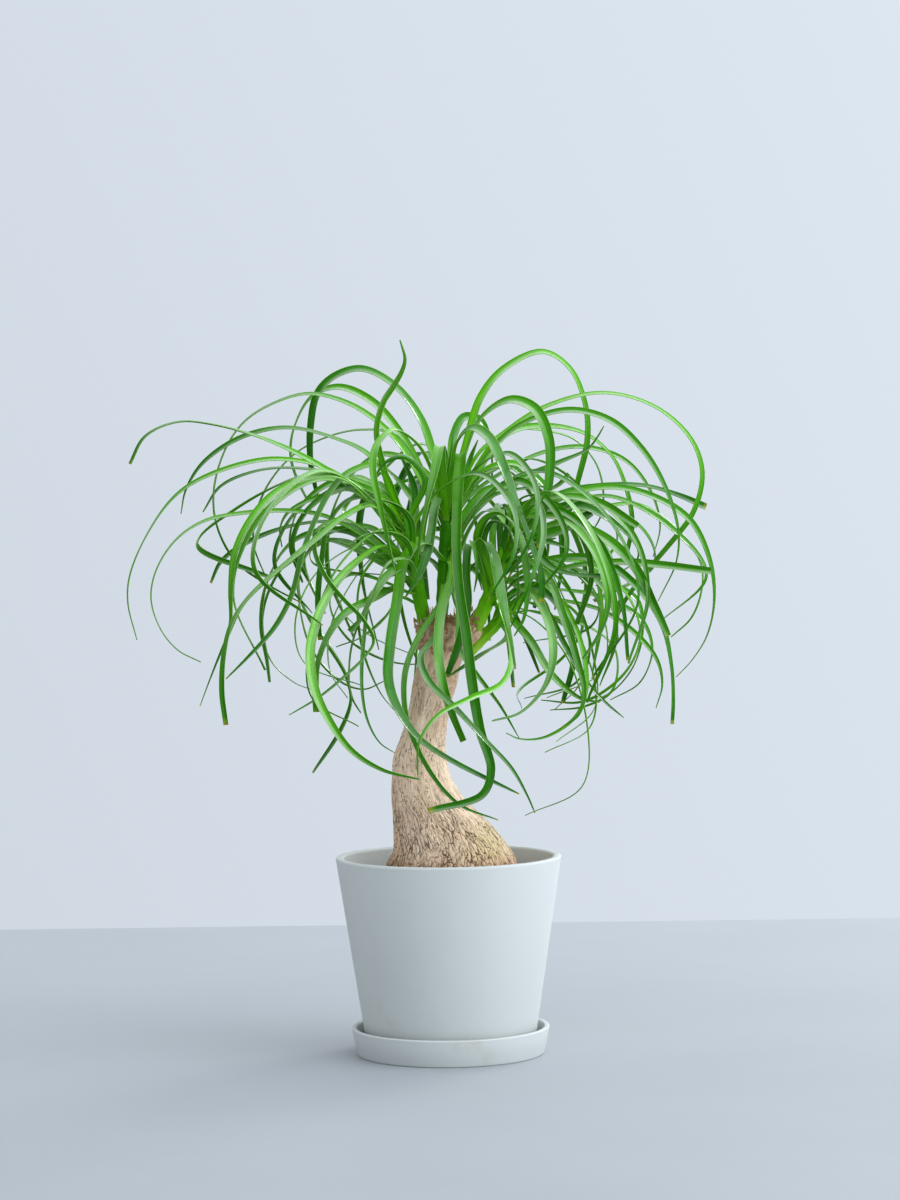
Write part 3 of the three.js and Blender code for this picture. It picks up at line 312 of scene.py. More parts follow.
        Leaf(0.6, 6, -20, 45, (505, 575, 520, 558, 535, 545, 556, 538)),
        Leaf(0.7, 5.5, -55, 45, (508, 560, 522, 546, 540, 541, 560, 545, 575, 553)),
        Leaf(0.75, 5, -35, 45, (500, 560, 505, 537, 507, 520, 505, 508)),
        Leaf(0.65, 6, 30, 45, (510, 565, 517, 540, 531, 520, 550, 510)),
        Leaf(0.4, 6, -40, 45, (500, 595, 517, 581, 535, 575, 551, 584)),
        Leaf(0.3, 5.5, -20, 45, (495, 605, 515, 592, 530, 590, 545, 603, 552, 625)),
        Leaf(0.6, 6, 30, 45, (500, 568, 485, 559, 474, 565, 466, 580)),
    ],
    "head_low": [
        Leaf(0.5, 6, -60, 50, (508, 636, 478, 657, 448, 677)),
        Leaf(0.6, 7, -80, 50, (530, 640, 552, 675, 580, 698, 600, 702)),
        Leaf(0.9, 5, 20, 42, (560, 600, 600, 610, 635, 633, 657, 660, 662, 685, 656, 708)),
        Leaf(0.8, 5, -30, 46, (545, 610, 565, 645, 585, 680, 605, 702, 624, 718)),
        Leaf(0.7, 4.5, 50, 42, (545, 615, 590, 628, 615, 650, 612, 690, 585, 706, 550, 710)),
        Leaf(0.95, 5, 60, 42, (560, 590, 598, 596, 640, 618, 652, 650, 640, 682, 610, 700)),
    ],
}

# Leaves that fill each head on the sides that the photograph doesn't show: how many, the middle and the
# spread of their directions in degrees, their reach and their rise
Filling = namedtuple("Filling", "count toward spread reach rise")
FILLED = {
    "head_left": Filling(16, 130, 250, (95, 215), (10, 95)),
    "head_middle": Filling(15, 90, 260, (90, 200), (15, 75)),
    "head_right": Filling(14, 55, 250, (90, 190), (5, 85)),
    "head_low": Filling(5, 60, 200, (70, 140), (5, 35)),
}

# A leaf drawn by rule: its place on the shoot, width and roll, its direction, reach, rise and hang, how
# far out it ends, its sideways bend and its cut end; each measure has its range
Drawn = namedtuple("Drawn", "start wide roll heading reach rise hang inward bend tip")
FILL_RANGE = {
    "start": (0.25, 1), "wide": (5, 8), "roll": (15, 65), "turn": (-0.5, 0.5), "hang": (50, 160),
    "inward": (0.6, 1.02), "bend": (-50, 50), "tip": (0.1, 0.6),
}

# Steps that spread the measures of the drawn leaves, of the crumbs and of the flakes evenly
FILL_STEP = {
    "start": 0.618034, "wide": 0.2914, "roll": 0.4331, "turn": 0.754878, "reach": 0.56984,
    "rise": 0.381966, "hang": 0.9129, "inward": 0.1459, "bend": 0.8393, "tip": 0.3247,
}
CRUMB_STEP = {"angle": 0.618034, "out": 0.754878, "size": 0.56984}
FLAKE_STEP = {
    "angle": 0.618034, "height": 0.754878, "long": 0.5698, "wide": 0.2914, "lean": 0.4331,
    "turn": 0.9129, "taper": 0.1459,
}
TINT_STEP = 0.381966
FIRST_DRAWN = 0.5

# Side view of a filling leaf: shares of its reach outwards, then of its rise, reach and hang upwards
ARCH = [(0, 0, 0, 0), (0.2, 0.62, 0.1, 0), (0.52, 1, 0.12, 0), (0.86, 1, 0, -0.12), (1, 1, 0, -0.55)]

# Thin young leaves that curl under the heads, fine detail that only the dressed plant has
WISPS = {
    "head_left": Filling(13, 180, 200, (60, 150), (-20, 45)),
    "head_middle": Filling(5, 90, 180, (60, 150), (0, 60)),
    "head_right": Filling(12, 10, 180, (60, 140), (-20, 45)),
    "head_low": Filling(7, 10, 120, (50, 120), (-30, 20)),
}
WISP_RANGE = {
    "start": (0.1, 0.95), "wide": (1.4, 3.6), "roll": (-80, 80), "turn": (-0.5, 0.5), "hang": (60, 170),
    "inward": (0.1, 0.8), "bend": (-140, 140), "tip": (0.1, 0.3),
}
CURL = [(0, 0, 0, 0), (0.35, 0.8, 0.12, 0), (0.8, 1, 0.04, -0.15), (1, 1, 0, -0.5), (0.93, 1, 0, -0.82)]

# Corners of the turned pieces: segments of a rounding, the angle in degrees that is a corner, and the
# largest that is shaded smooth
TURNED = {"segments": 5, "corner": 35, "crease": 30}

# Largest angle in degrees that is shaded smooth on crumbly and frayed pieces, and the gap that is a seam
CRUMBLY_ANGLE = 50
SEAM = 0.002

# Half turns from the right to the trunk's seam, which lies at its back
SEAM_AT = 1.5

# Radius of the straight column that the bark's pattern is laid on, so that it follows the trunk's sweep
BARK_ROUND = 30

# Relief of the bark: the height below which the foot's plates come in and over what height they do, the
# crown's scars likewise above theirs; ribs by how far they stand out, how many go round and how steeply
# they climb; the other forms by how far they stand out and their size, across and up where they differ
BARK = {
    "foot": (235, 45), "crown": (350, 16), "ribs": [(0.5, 7, 17), (0.3, 13, 31)], "wander": 0.9,
    "swell": (1.1, 17), "slit": (0.7, 3.4, 16), "slit_edge": 0.12, "slit_spread": (11, 0.45),
    "plate": (0.4, 2, 8), "plate_edge": 0.3, "scar": (1.6, 6, 4.5), "grain": (0.35, 2.4),
}

# Loose crumbs: their size, how much rarer the large ones are, their rest from the wall, the range of the
# bed's area that they lie on, bare in its middle, the proportions and unevenness of their shape, and how
# far out of the bed they stand
CRUMB = {
    "size": (0.7, 2.9), "rare": 2.2, "margin": 3, "inmost": (0.18, 1),
    "shape": np.array((1, 0.75, 0.5)), "uneven": 0.3, "lift": 0.2,
}

# Fold down a fine blade's middle: cells across the blade, how rounded the fold is as a share of the half
# width, how thick the blade may be for its width, and the largest angle in degrees that is shaded smooth
FOLD = {"cells": 4, "round": 0.06, "thickest": 0.3, "crease": 30}

# Painted sheen across a blade, a pale highlight painted where the blade faces up: how much more one half
# of the fold catches than the other, and how much more the edge does than the middle
SHEEN_LEAN = {"half": 0.5, "edge": 0.55}

# Slow sway of a fine blade about its middle line: degrees at the tip, and how fast it goes
SWAY = {"turn": 38, "waves": 7}

# Share of a green leaf's length at which the thin leaves end, short of the dry tip, all but one in so many
WISP_TIP = 0.96
DRY_WISP = 4

# Space in front of the trunk that the thin leaves stay out of: half width, depth and height
FRONT = {"beside": 60, "before": 20, "below": 400}

# Crown: share of the rings below its edge, its rise over the edge, its roughness, how far it closes,
# and the dry flakes round it, from the height of their roots to the cells of one
CROWN_SHARE = 0.955
CROWN_RISE = 1.5
CROWN_ROUGH = 1.8
CROWN_CLOSED = 0.98
FLAKE = {
    "height": (352, 386), "long": (3.5, 10.5), "wide": (1.8, 6.5), "lean": (-0.15, 0.8),
    "taper": (0.55, 0.95), "sunk": 1, "thick": 0.6, "tilt": 0.5, "ragged": 0.4, "teeth": 14,
    "cells": (7, 4),
}

# Stems: sides and rings, clasping leaf bases and how far they stand out, the shape of the section, the
# share of the radius at the foot, the share of the length over which the top rounds off, and fine ribs
STEM = {
    "sides": 36, "rings": 40, "clasps": 9, "clasp": 0.09, "oval": 0.05, "slim": 0.74, "full_at": 0.5,
    "dome": 0.3, "ribs": 9,
}

# Green of each stem: how far from the young lime it starts, and how dark it is
STEM_GREEN = {
    "head_left": (0.16, 0.7),
    "head_middle": (0.2, 0.9),
    "head_right": (0.02, 0.15),
    "head_low": (0.0, 0.1),
}

# Surroundings: direction of the window, and how bright they are from opposite it, 0, to the window, 1
WINDOW = (0.85, -0.35, 0.4)
SURROUND = [(0, 0.2), (0.25, 0.73), (0.4, 0.82), (0.7, 1.08), (1, 2.4)]

# Floor, from its near left to its far right corner
FLOOR = [(-3000, -3600, 0), (3000, 900, 0)]
FLOOR_CELLS = 8
FLOOR_ROUGH = 0.6

# Lights: place, what each is aimed at and its width, all in metres
Lamp = namedtuple("Lamp", "place aim size")
LAMPS = {
    "key": Lamp((2.1, -1.2, 1.5), (0, 0, 0.3), 2.4),
    "back": Lamp((1.3, 1.5, 1.3), (0, 0, 0.35), 0.9),
    "fill": Lamp((-2.0, 0.8, 0.7), (0, 0, 0.25), 1.6),
}

# Sideways shifts that a leaf tries, nearest first
ASIDE = [0, 9, -9, 18, -18, 27, -27, 38, -38, 50, -50, 65, -65, 80, -80, 95, -95]


# Leaf curves, by the same rule as the solid leaves


def between(ends, share):
    return ends[0] + (ends[1] - ends[0]) * share


def drawn(i, step):
    """The i-th of the numbers that a step spreads evenly from 0 to 1."""
    return (FIRST_DRAWN + i * step) % 1


def seen(across, down, depth):
    """Place in millimetres of a pixel of the photograph, on the upright plane at a depth."""
    right = across - VIEW["middle"][0]
    below = down - VIEW["middle"][1]
    u = (right * math.cos(VIEW_ROLL) - below * math.sin(VIEW_ROLL)) / VIEW["focal"]
    v = -(right * math.sin(VIEW_ROLL) + below * math.cos(VIEW_ROLL)) / VIEW["focal"]
    ahead = (depth + VIEW["distance"]) / (math.cos(VIEW_TILT) + v * math.sin(VIEW_TILT))
    up = ahead * (v * math.cos(VIEW_TILT) - math.sin(VIEW_TILT))
    return np.array([VIEW["x"] + u * ahead, depth, VIEW["height"] + up])


def on_shoot(head, share):
    """Place on the middle line of a head's stem."""
    foot, top, _ = SHOOTS[head]
    return np.array(foot) + (np.array(top) - np.array(foot)) * share


def shown_points(head, leaf, aside):
    """Points that a leaf of the photograph passes, its depth shifted by aside millimetres."""
    root = on_shoot(head, leaf.start)
    path = list(zip(leaf.path[::2], leaf.path[1::2]))
    flat = [root] + [seen(across, down, root[1]) for across, down in path]
    run = [0.0]
    for start, end in zip(flat, flat[1:]):
        run.append(run[-1] + np.linalg.norm(end - start))
    places = [root]
    for (across, down), far in zip(path, run[1:]):
        outward = math.sin(far / run[-1] * math.pi / 2)
        places.append(seen(across, down, root[1] + (leaf.back + aside) * outward))
    return np.array(places)


def drawn_leaf(filling, ranges, i):
    """A leaf of a rule: every measure spread evenly over its range."""
    ranges = {**ranges, "reach": filling.reach, "rise": filling.rise}
    value = {measure: between(ranges[measure], drawn(i, step)) for measure, step in FILL_STEP.items()}
    value["heading"] = filling.toward + filling.spread * value.pop("turn")
    return Drawn(**value)


def arched_points(head, leaf, aside, arch=ARCH):
    """Points of a leaf that rises from the shoot, arches over and hangs, bending sideways as it goes."""
    side = [
        (out * leaf.reach, rise * leaf.rise + reach * leaf.reach + hang * leaf.hang)
        for out, rise, reach, hang in arch
    ]
    side.append((leaf.inward * leaf.reach, leaf.rise - leaf.hang))
    root = on_shoot(head, leaf.start)
    points = []
    for i, (out, up) in enumerate(side):
        heading = math.radians(leaf.heading + aside / 2 + leaf.bend * i / (len(side) - 1))
        points.append(root + (out * math.cos(heading), out * math.sin(heading), up))
    return np.array(points)


def smooth_places(route, shares):
    """Points on the centripetal Catmull-Rom curve through a route, at shares of its knots."""
    knots = np.vstack([2 * route[0] - route[1], route, 2 * route[-1] - route[-2]])
    spans = len(route) - 1
    first = np.minimum((shares * spans).astype(int), spans - 1)
    part = (shares * spans - first)[:, None]
    corners = [knots[first + k] for k in range(4)]
    gaps = [np.sqrt(np.linalg.norm(b - a, axis=1))[:, None] for a, b in zip(corners, corners[1:])]
    steps = [b - a for a, b in zip(corners, corners[1:])]
    start = steps[0] / gaps[0] - (steps[0] + steps[1]) / (gaps[0] + gaps[1]) + steps[1] / gaps[1]
    end = steps[1] / gaps[1] - (steps[1] + steps[2]) / (gaps[1] + gaps[2]) + steps[2] / gaps[2]
    start, end = start * gaps[1], end * gaps[1]
    return (
        corners[1]
        + start * part
        + (-3 * corners[1] + 3 * corners[2] - 2 * start - end) * part**2
        + (2 * corners[1] - 2 * corners[2] + start + end) * part**3
    )


def middle_line(route, steps, count=None):
    """The leaf's middle line, its stretches shorter where it turns: points, and shares of its length."""
    knots = np.linspace(0, 1, ARC_DIVISIONS + 1)
    coarse = smooth_places(route, knots)
    run = np.concatenate([[0], np.cumsum(np.linalg.norm(np.diff(coarse, axis=0), axis=1))])
    fine = smooth_places(route, np.interp(np.linspace(0, run[-1], steps + 1), run, knots))
    way = np.diff(fine, axis=0)
    way /= np.linalg.norm(way, axis=1)[:, None]
    turns = np.arccos(np.clip((way[1:] * way[:-1]).sum(axis=1), -1, 1)) / math.pi
    weight = np.concatenate([[0], np.cumsum(1 / steps + TURN_WEIGHT * np.append(turns, 0))])
    if count is None:
        wanted = math.floor(run[-1] / BLADE["stretch"] + 0.5)
        count = min(max(wanted, BLADE["fewest"]), BLADE["most"])
    places = np.interp(np.linspace(0, weight[-1], count + 1), weight, np.arange(steps + 1))
    points = np.array([np.interp(places, np.arange(steps + 1), fine[:, k]) for k in range(3)]).T
    return points, places / steps


def half_width(leaf, share):
    """Half width of a leaf at a share of its length: root, even strap, narrowing or cut tip."""
    root = between((TAPER["root"], 1), np.minimum(1, share / TAPER["root_share"]))
    past = np.maximum(0, share - TAPER["tip_share"]) / (1 - TAPER["tip_share"])
    return leaf.wide / 2 * root * between((1, leaf.tip), past ** TAPER["tip_power"])


# Blades that keep clear of each other


def feelers(leaf, line):
    """Points every few millimetres on a middle line, with the blade's half width there."""
    points, shares = line
    parts = np.arange(1, PASS["feelers"] + 1) / PASS["feelers"]
    places = np.concatenate([[0], (np.arange(len(points) - 1)[:, None] + parts).ravel()])[1:]
    index = np.arange(len(points))
    at = np.array([np.interp(places, index, points[:, k]) for k in range(3)]).T
    return at, half_width(leaf, np.interp(places, index, shares))


def level(measure, z):
    """Smooth value of one measure of the trunk's levels at a height."""
    last = len(TRUNK_LEVELS) - 1
    heights = [row.z for row in TRUNK_LEVELS]
    i = min(max(int(np.searchsorted(heights, z)) - 1, 0), last - 1)

    def slope(k):
        low, high = TRUNK_LEVELS[max(k - 1, 0)], TRUNK_LEVELS[min(k + 1, last)]
        return (getattr(high, measure) - getattr(low, measure)) / (high.z - low.z)

    step = heights[i + 1] - heights[i]
    t = min(max((z - heights[i]) / step, 0), 1)
    start, end = getattr(TRUNK_LEVELS[i], measure), getattr(TRUNK_LEVELS[i + 1], measure)
    return (
        (2 * t**3 - 3 * t**2 + 1) * start
        + (t**3 - 2 * t**2 + t) * step * slope(i)
        + (3 * t**2 - 2 * t**3) * end
        + (t**3 - t**2) * step * slope(i + 1)
    )


def clear_of_plant(head, felt):
    """Whether no feeler is near the pot, the trunk or another head's stem."""
    low, high = TRUNK_LEVELS[0].z, TRUNK_LEVELS[-1].z + PASS["trunk"]
    for (x, y, z), half in zip(*felt):
        if z < POT["height"] + PASS["rim"]:
            return False
        if low < z < high:
            across = (x - level("x", z)) / (level("across", z) + half + PASS["trunk"])
            deep = (y - level("y", z)) / (level("deep", z) + half + PASS["trunk"])
            if math.hypot(across, deep) < 1:
                return False
    for other, shoot in SHOOTS.items():
        if other == head:
            continue
        foot, axis = np.array(shoot.foot), np.array(shoot.top) - np.array(shoot.foot)
        share = np.clip((felt[0] - foot) @ axis / (axis @ axis), 0, 1)
        gap = np.linalg.norm(foot + share[:, None] * axis - felt[0], axis=1)
        if (gap <= shoot.radii[0] + felt[1] + PASS["blade"]).any():
            return False
    return True


def clear_of_others(head, felt, placed):
    """Whether no feeler is near a leaf of another head."""
    others = [row["felt"] for row in placed if row["head"] != head]
    if not others:
        return True
    at = np.concatenate([place for place, _ in others])
    half = np.concatenate([wide for _, wide in others])
    squared = (felt[0] ** 2).sum(1)[:, None] + (at**2).sum(1) - 2 * felt[0] @ at.T
    return bool((squared > (felt[1][:, None] + half + PASS["blade"]) ** 2).all())


def place_leaf(placed, head, leaf, route):
    """Places a leaf at the first sideways shift that keeps it clear, or nowhere."""
    for aside in ASIDE:
        points = route(head, leaf, aside)
        line = middle_line(points, CURVE_STEPS)
        felt = feelers(leaf, line)
        if clear_of_plant(head, felt) and clear_of_others(head, felt, placed):
            placed.append({"head": head, "leaf": leaf, "route": points, "line": line, "felt": felt})
            return


def grow_leaves():
    """Every leaf of the solid plant, by its own rule."""
    placed = []
    for head, leaves in SHOWN.items():
        for leaf in leaves:
            place_leaf(placed, head, leaf, shown_points)
    for head, filling in FILLED.items():
        for i in range(filling.count):
            place_leaf(placed, head, drawn_leaf(filling, FILL_RANGE, i), arched_points)
    return placed


def grow_wisps():
    """The thin curling leaves, kept clear of the trunk and the pot."""
    placed = []
    for head, filling in WISPS.items():
        for i in range(filling.count):
            leaf = drawn_leaf(filling, WISP_RANGE, i)
            points = arched_points(head, leaf, 0, CURL)
            line = middle_line(points, CURVE_STEPS)
            x, y, z = points[1:].T
            in_front = (abs(x) < FRONT["beside"]) & (y < FRONT["before"]) & (z < FRONT["below"])
            if clear_of_plant(head, feelers(leaf, line)) and not in_front.any():
                tip = 1 if i % DRY_WISP == 0 else WISP_TIP
                placed.append({"head": head, "leaf": leaf, "route": points, "line": line, "tip": tip})
    return placed


# Finishes: shader nodes written as sums


class Value:
    """One output of a shader node; a sum on it adds Math nodes to its material."""

    def __init__(self, finish, socket):
        self.finish = finish
        self.socket = socket

    def math(self, operation, *values):
        return self.finish.node("ShaderNodeMath", {"operation": operation}, dict(enumerate(values)))

    def __add__(self, other):
        return self.math("ADD", self, other)

    def __sub__(self, other):
        return self.math("SUBTRACT", self, other)

    def __rsub__(self, other):
        return self.math("SUBTRACT", other, self)

    def __mul__(self, other):
        return self.math("MULTIPLY", self, other)

    def __pow__(self, other):
        return self.math("POWER", self, other)

    def __abs__(self):
        return self.math("ABSOLUTE", self)

    __radd__ = __add__
    __rmul__ = __mul__

    def step(self, low, high):
        """0 below low, 1 above high and smooth between; falling where high is the smaller."""
        ends = {"From Min": low, "From Max": high}
        return self.finish.node(
            "ShaderNodeMapRange", {"interpolation_type": "SMOOTHSTEP"}, {"Value": self, **ends}
        )


class Finish:
    """A new material, its nodes added one call at a time."""

    def __init__(self, name):
        self.material = bpy.data.materials.new(name)
        self.material.use_nodes = True
        self.nodes = self.material.node_tree.nodes
        self.nodes.clear()

    def node(self, kind, settings=None, values=None, output=0):
        """Adds a node: its settings first, then its sockets by name or number, and gives one output."""
        node = self.nodes.new(kind)
        for name, setting in (settings or {}).items():
            setattr(node, name, setting)
        for name, value in (values or {}).items():
            if isinstance(value, Value):
                self.material.node_tree.links.new(value.socket, node.inputs[name])
            else:
                node.inputs[name].default_value = value
        return Value(self, node.outputs[output])

    def mix(self, factor, first, second):
        return self.node("ShaderNodeMix", {"data_type": "RGBA"}, {0: factor, 6: first, 7: second}, 2)

    def painted(self, body, *layers):
        """Lays colours over a body, each by its own factor."""
        for factor, code in layers:
            body = self.mix(factor, body, paint(code))
        return body

    def place(self):
        return self.node("ShaderNodeTexCoord", output="Object")

    def split(self, vector):
        node = self.nodes.new("ShaderNodeSeparateXYZ")
        self.material.node_tree.links.new(vector.socket, node.inputs[0])
        return [Value(self, socket) for socket in node.outputs]

    def upright(self, vector, scale):
        """A place scaled in height alone, so that a pattern on it is drawn out upwards."""
        return self.node("ShaderNodeMapping", {}, {"Vector": vector, "Scale": (1, 1, scale)})

    def combined(self, x, y, z):
        return self.node("ShaderNodeCombineXYZ", {}, {"X": x, "Y": y, "Z": z})

    def warped(self, vector, scale, amount):
        """A place pushed about by noise, so that a pattern on it wanders."""
        push = self.node("ShaderNodeTexNoise", {}, {"Vector": vector, "Scale": scale}, "Color")
        centred = self.node(
            "ShaderNodeVectorMath", {"operation": "SUBTRACT"}, {0: push, 1: (0.5, 0.5, 0.5)}
        )
        scaled = self.node("ShaderNodeVectorMath", {"operation": "SCALE"}, {0: centred, "Scale": amount})
        return self.node("ShaderNodeVectorMath", {"operation": "ADD"}, {0: vector, 1: scaled})

    def clouds(self, vector, scale, detail=2, rough=0.5):
        sockets = {"Vector": vector, "Scale": scale, "Detail": detail, "Roughness": rough}
        return self.node("ShaderNodeTexNoise", {}, sockets)

    def cells(self, vector, scale, feature="F1", output="Distance"):
        sockets = {"Vector": vector, "Scale": scale}
        return self.node("ShaderNodeTexVoronoi", {"feature": feature}, sockets, output)

    def measure(self, name, output="Fac"):
        return self.node("ShaderNodeAttribute", {"attribute_name": name}, output=output)

    def bump(self, height, strength, distance):
        sockets = {"Height": height, "Strength": strength, "Distance": distance}
        return self.node("ShaderNodeBump", {}, sockets)

    def surface(self, sockets):
        """Ends the material with its shader."""
        shader = self.node("ShaderNodeBsdfPrincipled", {}, sockets)
        end = self.nodes.new("ShaderNodeOutputMaterial")
        self.material.node_tree.links.new(shader.socket, end.inputs["Surface"])
        return self.material


def paint(code):
    """A colour from its six-figure screen code, as the shaders read it."""
    parts = [int(code[k : k + 2], 16) / 255 for k in (0, 2, 4)]
    return (*(p / 12.92 if p <= 0.04045 else ((p + 0.055) / 1.055) ** 2.4 for p in parts), 1)


def leaf_finish(settings):
    """Satin strap leaf: fine veins along it, pale midrib, pale edges partly painted as highlight, lime
    base, dry tip, with painted sheen, glow and shade by how each part faces.
    """
    finish = Finish("strap_leaf")
    along, across, tint = finish.measure("along"), finish.measure("across"), finish.measure("tint")
    upper, bloom, edge = finish.measure("upper"), finish.measure("bloom"), abs(across)
    veins = finish.clouds(finish.combined(across * 5, along * 1.5, tint * 31), 1, 3, 0.6)
    fine = finish.clouds(finish.combined(across * 17, along, tint * 17), 1, 1)
    mottle = finish.clouds(finish.place(), 55, 3)
    # Painted sheen: how strongly a pale highlight is painted on what faces up, weaker towards the tip and
    # on darker leaves
    sheen_paint = bloom**1.8 * (veins * 0.5 + 0.7) * (1 - tint * 0.45) * (1 - along * 0.6)
    young = along.step(0.42, 0.03) * (1 - tint * 0.4)
    sheath = edge.step(0.6, 0.9) * along.step(0.4, 0.1)
    ragged = along + (veins - 0.5) * 0.014
    dry = tint * 0.01 + 0.986
    aged = tint.step(0.35, 0.75)
    body = finish.painted(
        finish.mix(tint, paint("82D41C"), paint("196204")),
        ((mottle - 0.5) * 0.8 + 0.1, "6CC014"),
        (veins.step(0.35, 0.75) * 0.6, "104A02"),
        (fine.step(0.52, 0.78) * 0.3, "7CBC38"),
        # Undersides a duller green, partly their own colour and partly painted shade
        ((1 - upper) * 0.3, "4E8E3A"),
        # Painted light: upper faces that don't face up are painted a vivid green, for light shining
        # through them
        ((1 - bloom) * upper * 0.35, "46A814"),
        (edge.step(0.16, 0.02) * 0.3, "5DB520"),
        (edge.step(0.5, 0.84) * 0.35, "0C4305"),
        # Pale margins, partly the blade's own colour and partly a painted highlight where the thin edge
        # catches light
        (edge.step(0.86, 0.97) * 0.6, "A2CC66"),
        (along.step(0.35, 1.0) * 0.5, "0E4A06"),
        # Pale highlight painted where the blade faces up
        (sheen_paint * settings.sheen_paint, "DCEACC"),
        (young, "80CC14"),
        (along.step(0.09, 0.0) * 0.75, "BEDB5A"),
        (sheath * 0.4, "2E7A0C"),
        (veins.step(0.45, 0.75) * along.step(0.4, 0.1) * 0.4, "3F8C12"),
        ((ragged - dry).step(-0.014, 0.002) * aged * 0.6, "A6AC38"),
        ((ragged - dry).step(-0.001, 0.007) * aged * 0.9, "96683A"),
    )
    height = veins * 0.6 + fine * 0.4
    return finish.surface({
        "Base Color": body,
        "Roughness": 0.28 + (mottle - 0.5) * 0.2 + (1 - upper) * 0.08,
        "Normal": finish.bump(height, 0.4, 0.0004),
        "Subsurface Weight": settings.glow,
        "Subsurface Radius": (0.7, 1.3, 0.3),
        "Subsurface Scale": MM,
        "Specular IOR Level": 0.06,
        # The coat is heavier where the painted sheen is, so that what faces up reflects more
        "Coat Weight": bloom.step(0.15, 0.85) * 0.85 + 0.15,
        "Coat IOR": 1.5,
        "Coat Roughness": 0.16,
    })


def bark_finish(settings):
    """Dry corky bark: upright fissures and pits above, cracked plates and a mossy tinge at the foot."""
    finish = Finish("trunk_bark")
    place = finish.place()
    x, y, z = finish.split(place)
    grown = finish.measure("grown", "Vector")
    wander = finish.warped(grown, 60, 0.004)
    foot = z.step(0.25, 0.19)
    threads = abs(finish.clouds(finish.upright(wander, 0.16), 330, 3, 0.55) - 0.5)
    dashes = abs(finish.clouds(finish.upright(wander, 0.3), 520, 2, 0.5) - 0.5)
    strands = finish.clouds(finish.upright(wander, 0.14), 900, 4, 0.65)
    grain = finish.clouds(place, 1100, 3, 0.7)
    broad = finish.clouds(finish.upright(grown, 0.45), 38, 3)
    chosen = finish.clouds(finish.upright(grown, 0.4), 130, 2)
    pits = finish.cells(finish.upright(wander, 0.4), 310)
    shape = finish.warped(finish.upright(finish.warped(grown, 240, 0.0026), 0.16), 90, 0.0014)
    plates = finish.cells(shape, 440, "DISTANCE_TO_EDGE")
    split = plates.step(0.07, 0.01) * chosen.step(0.34, 0.56) * foot
    thread = threads.step(0.022, 0.004) * chosen.step(0.44, 0.6) * (1 - foot * 0.35)
    dash = dashes.step(0.034, 0.006) * chosen.step(0.5, 0.36)
    pit = pits.step(0.24, 0.1) * broad.step(0.5, 0.62) * (1 - foot * 0.8)
    lee = x.step(0.002, 0.04) * z.step(0.166, 0.18) * z.step(0.228, 0.2)
    body = finish.painted(
        finish.mix(broad.step(0.3, 0.7), paint("F2DABE"), paint("E2C3A4")),
        (strands.step(0.42, 0.68) * 0.5, "F6DCC6"),
        (strands.step(0.46, 0.28) * 0.4, "B48E68"),
        (grain.step(0.55, 0.75) * 0.3, "A9805A"),
        (finish.measure("carved") * 0.3, "866043"),
        (lee * broad.step(0.4, 0.58) * 0.35, "ADA860"),
        (z.step(0.186, 0.162) * 0.5, "97633C"),
        (z.step(0.3, 0.365) * grain.step(0.3, 0.6) * 0.4, "CC9876"),
        (dash * (z.step(0.33, 0.23) * 0.45 + 0.35), "573626"),
        (thread * (z.step(0.33, 0.23) * 0.35 + 0.4), "553821"),
        (pit * 0.85, "4A2F1C"),
        (split * 0.8, "563A24"),
    )
    height = strands * 0.3 + grain * 0.15 + plates.step(0, 0.3) * 0.35 * foot
    height = height - thread * 0.7 - pit * 0.9 - split * 0.9 - dash * 0.4
    return finish.surface({
        "Base Color": body,
        "Roughness": 0.8 + grain * 0.15,
        "Normal": finish.bump(height, 1.0, settings.relief * 0.0013),
        "Specular IOR Level": 0.25,
    })


def pot_finish(settings, name):
    """Matt moulded plastic with a faint grain, a little dust and a few water marks low down."""
    finish = Finish(name)
    place = finish.place()
    z = finish.split(place)[2]
    grain = finish.clouds(place, 1400, 2)
    speck = finish.cells(place, 700)
    broad = finish.clouds(finish.upright(place, 0.5), 17, 4, 0.6)
    base = tuple(settings.colour)
    body = finish.mix(broad.step(0.3, 0.75) * 0.3, (*base, 1), (*(0.9 * part for part in base), 1))
    body = finish.mix(grain.step(0.55, 0.8) * 0.12, body, (*(0.8 * part for part in base), 1))
    mark = finish.clouds(finish.warped(place, 40, 0.02), 33, 3).step(0.62, 0.74) * z.step(0.075, 0.03)
    body = finish.painted(
        body,
        (speck.step(0.16, 0.06) * 0.25, "98A09C"),
        (mark * settings.stain, "B3A893"),
        # Greyer towards the very bottom, below 20 mm
        (z.step(0.02, 0.005) * 0.2, "A7ABA8"),
    )
    return finish.surface({
        "Base Color": body,
        "Roughness": 0.56 + broad * 0.14 + grain * 0.08,
        "Normal": finish.bump(grain * 0.7 + broad * 0.3, 0.22, 0.0003),
        "Specular IOR Level": 0.4,
    })


def soil_finish(name, dark, light):
    """Crumbly potting soil: peat, bark crumbs and a few pale bits."""
    finish = Finish(name)
    place = finish.place()
    crumbs = finish.cells(finish.warped(place, 200, 0.003), 380)
    fibres = finish.clouds(place, 700, 5, 0.7)
    bits = finish.split(finish.cells(place, 260, output="Color"))[0].step(0.93, 0.97)
    body = finish.painted(
        finish.mix(fibres.step(0.35, 0.7), paint(dark), paint(light)), (bits * 0.5, "8A7256")
    )
    return finish.surface({
        "Base Color": body,
        "Roughness": 0.88 + fibres * 0.1,
        "Normal": finish.bump(fibres * 0.6 + crumbs, 0.9, 0.0012),
    })


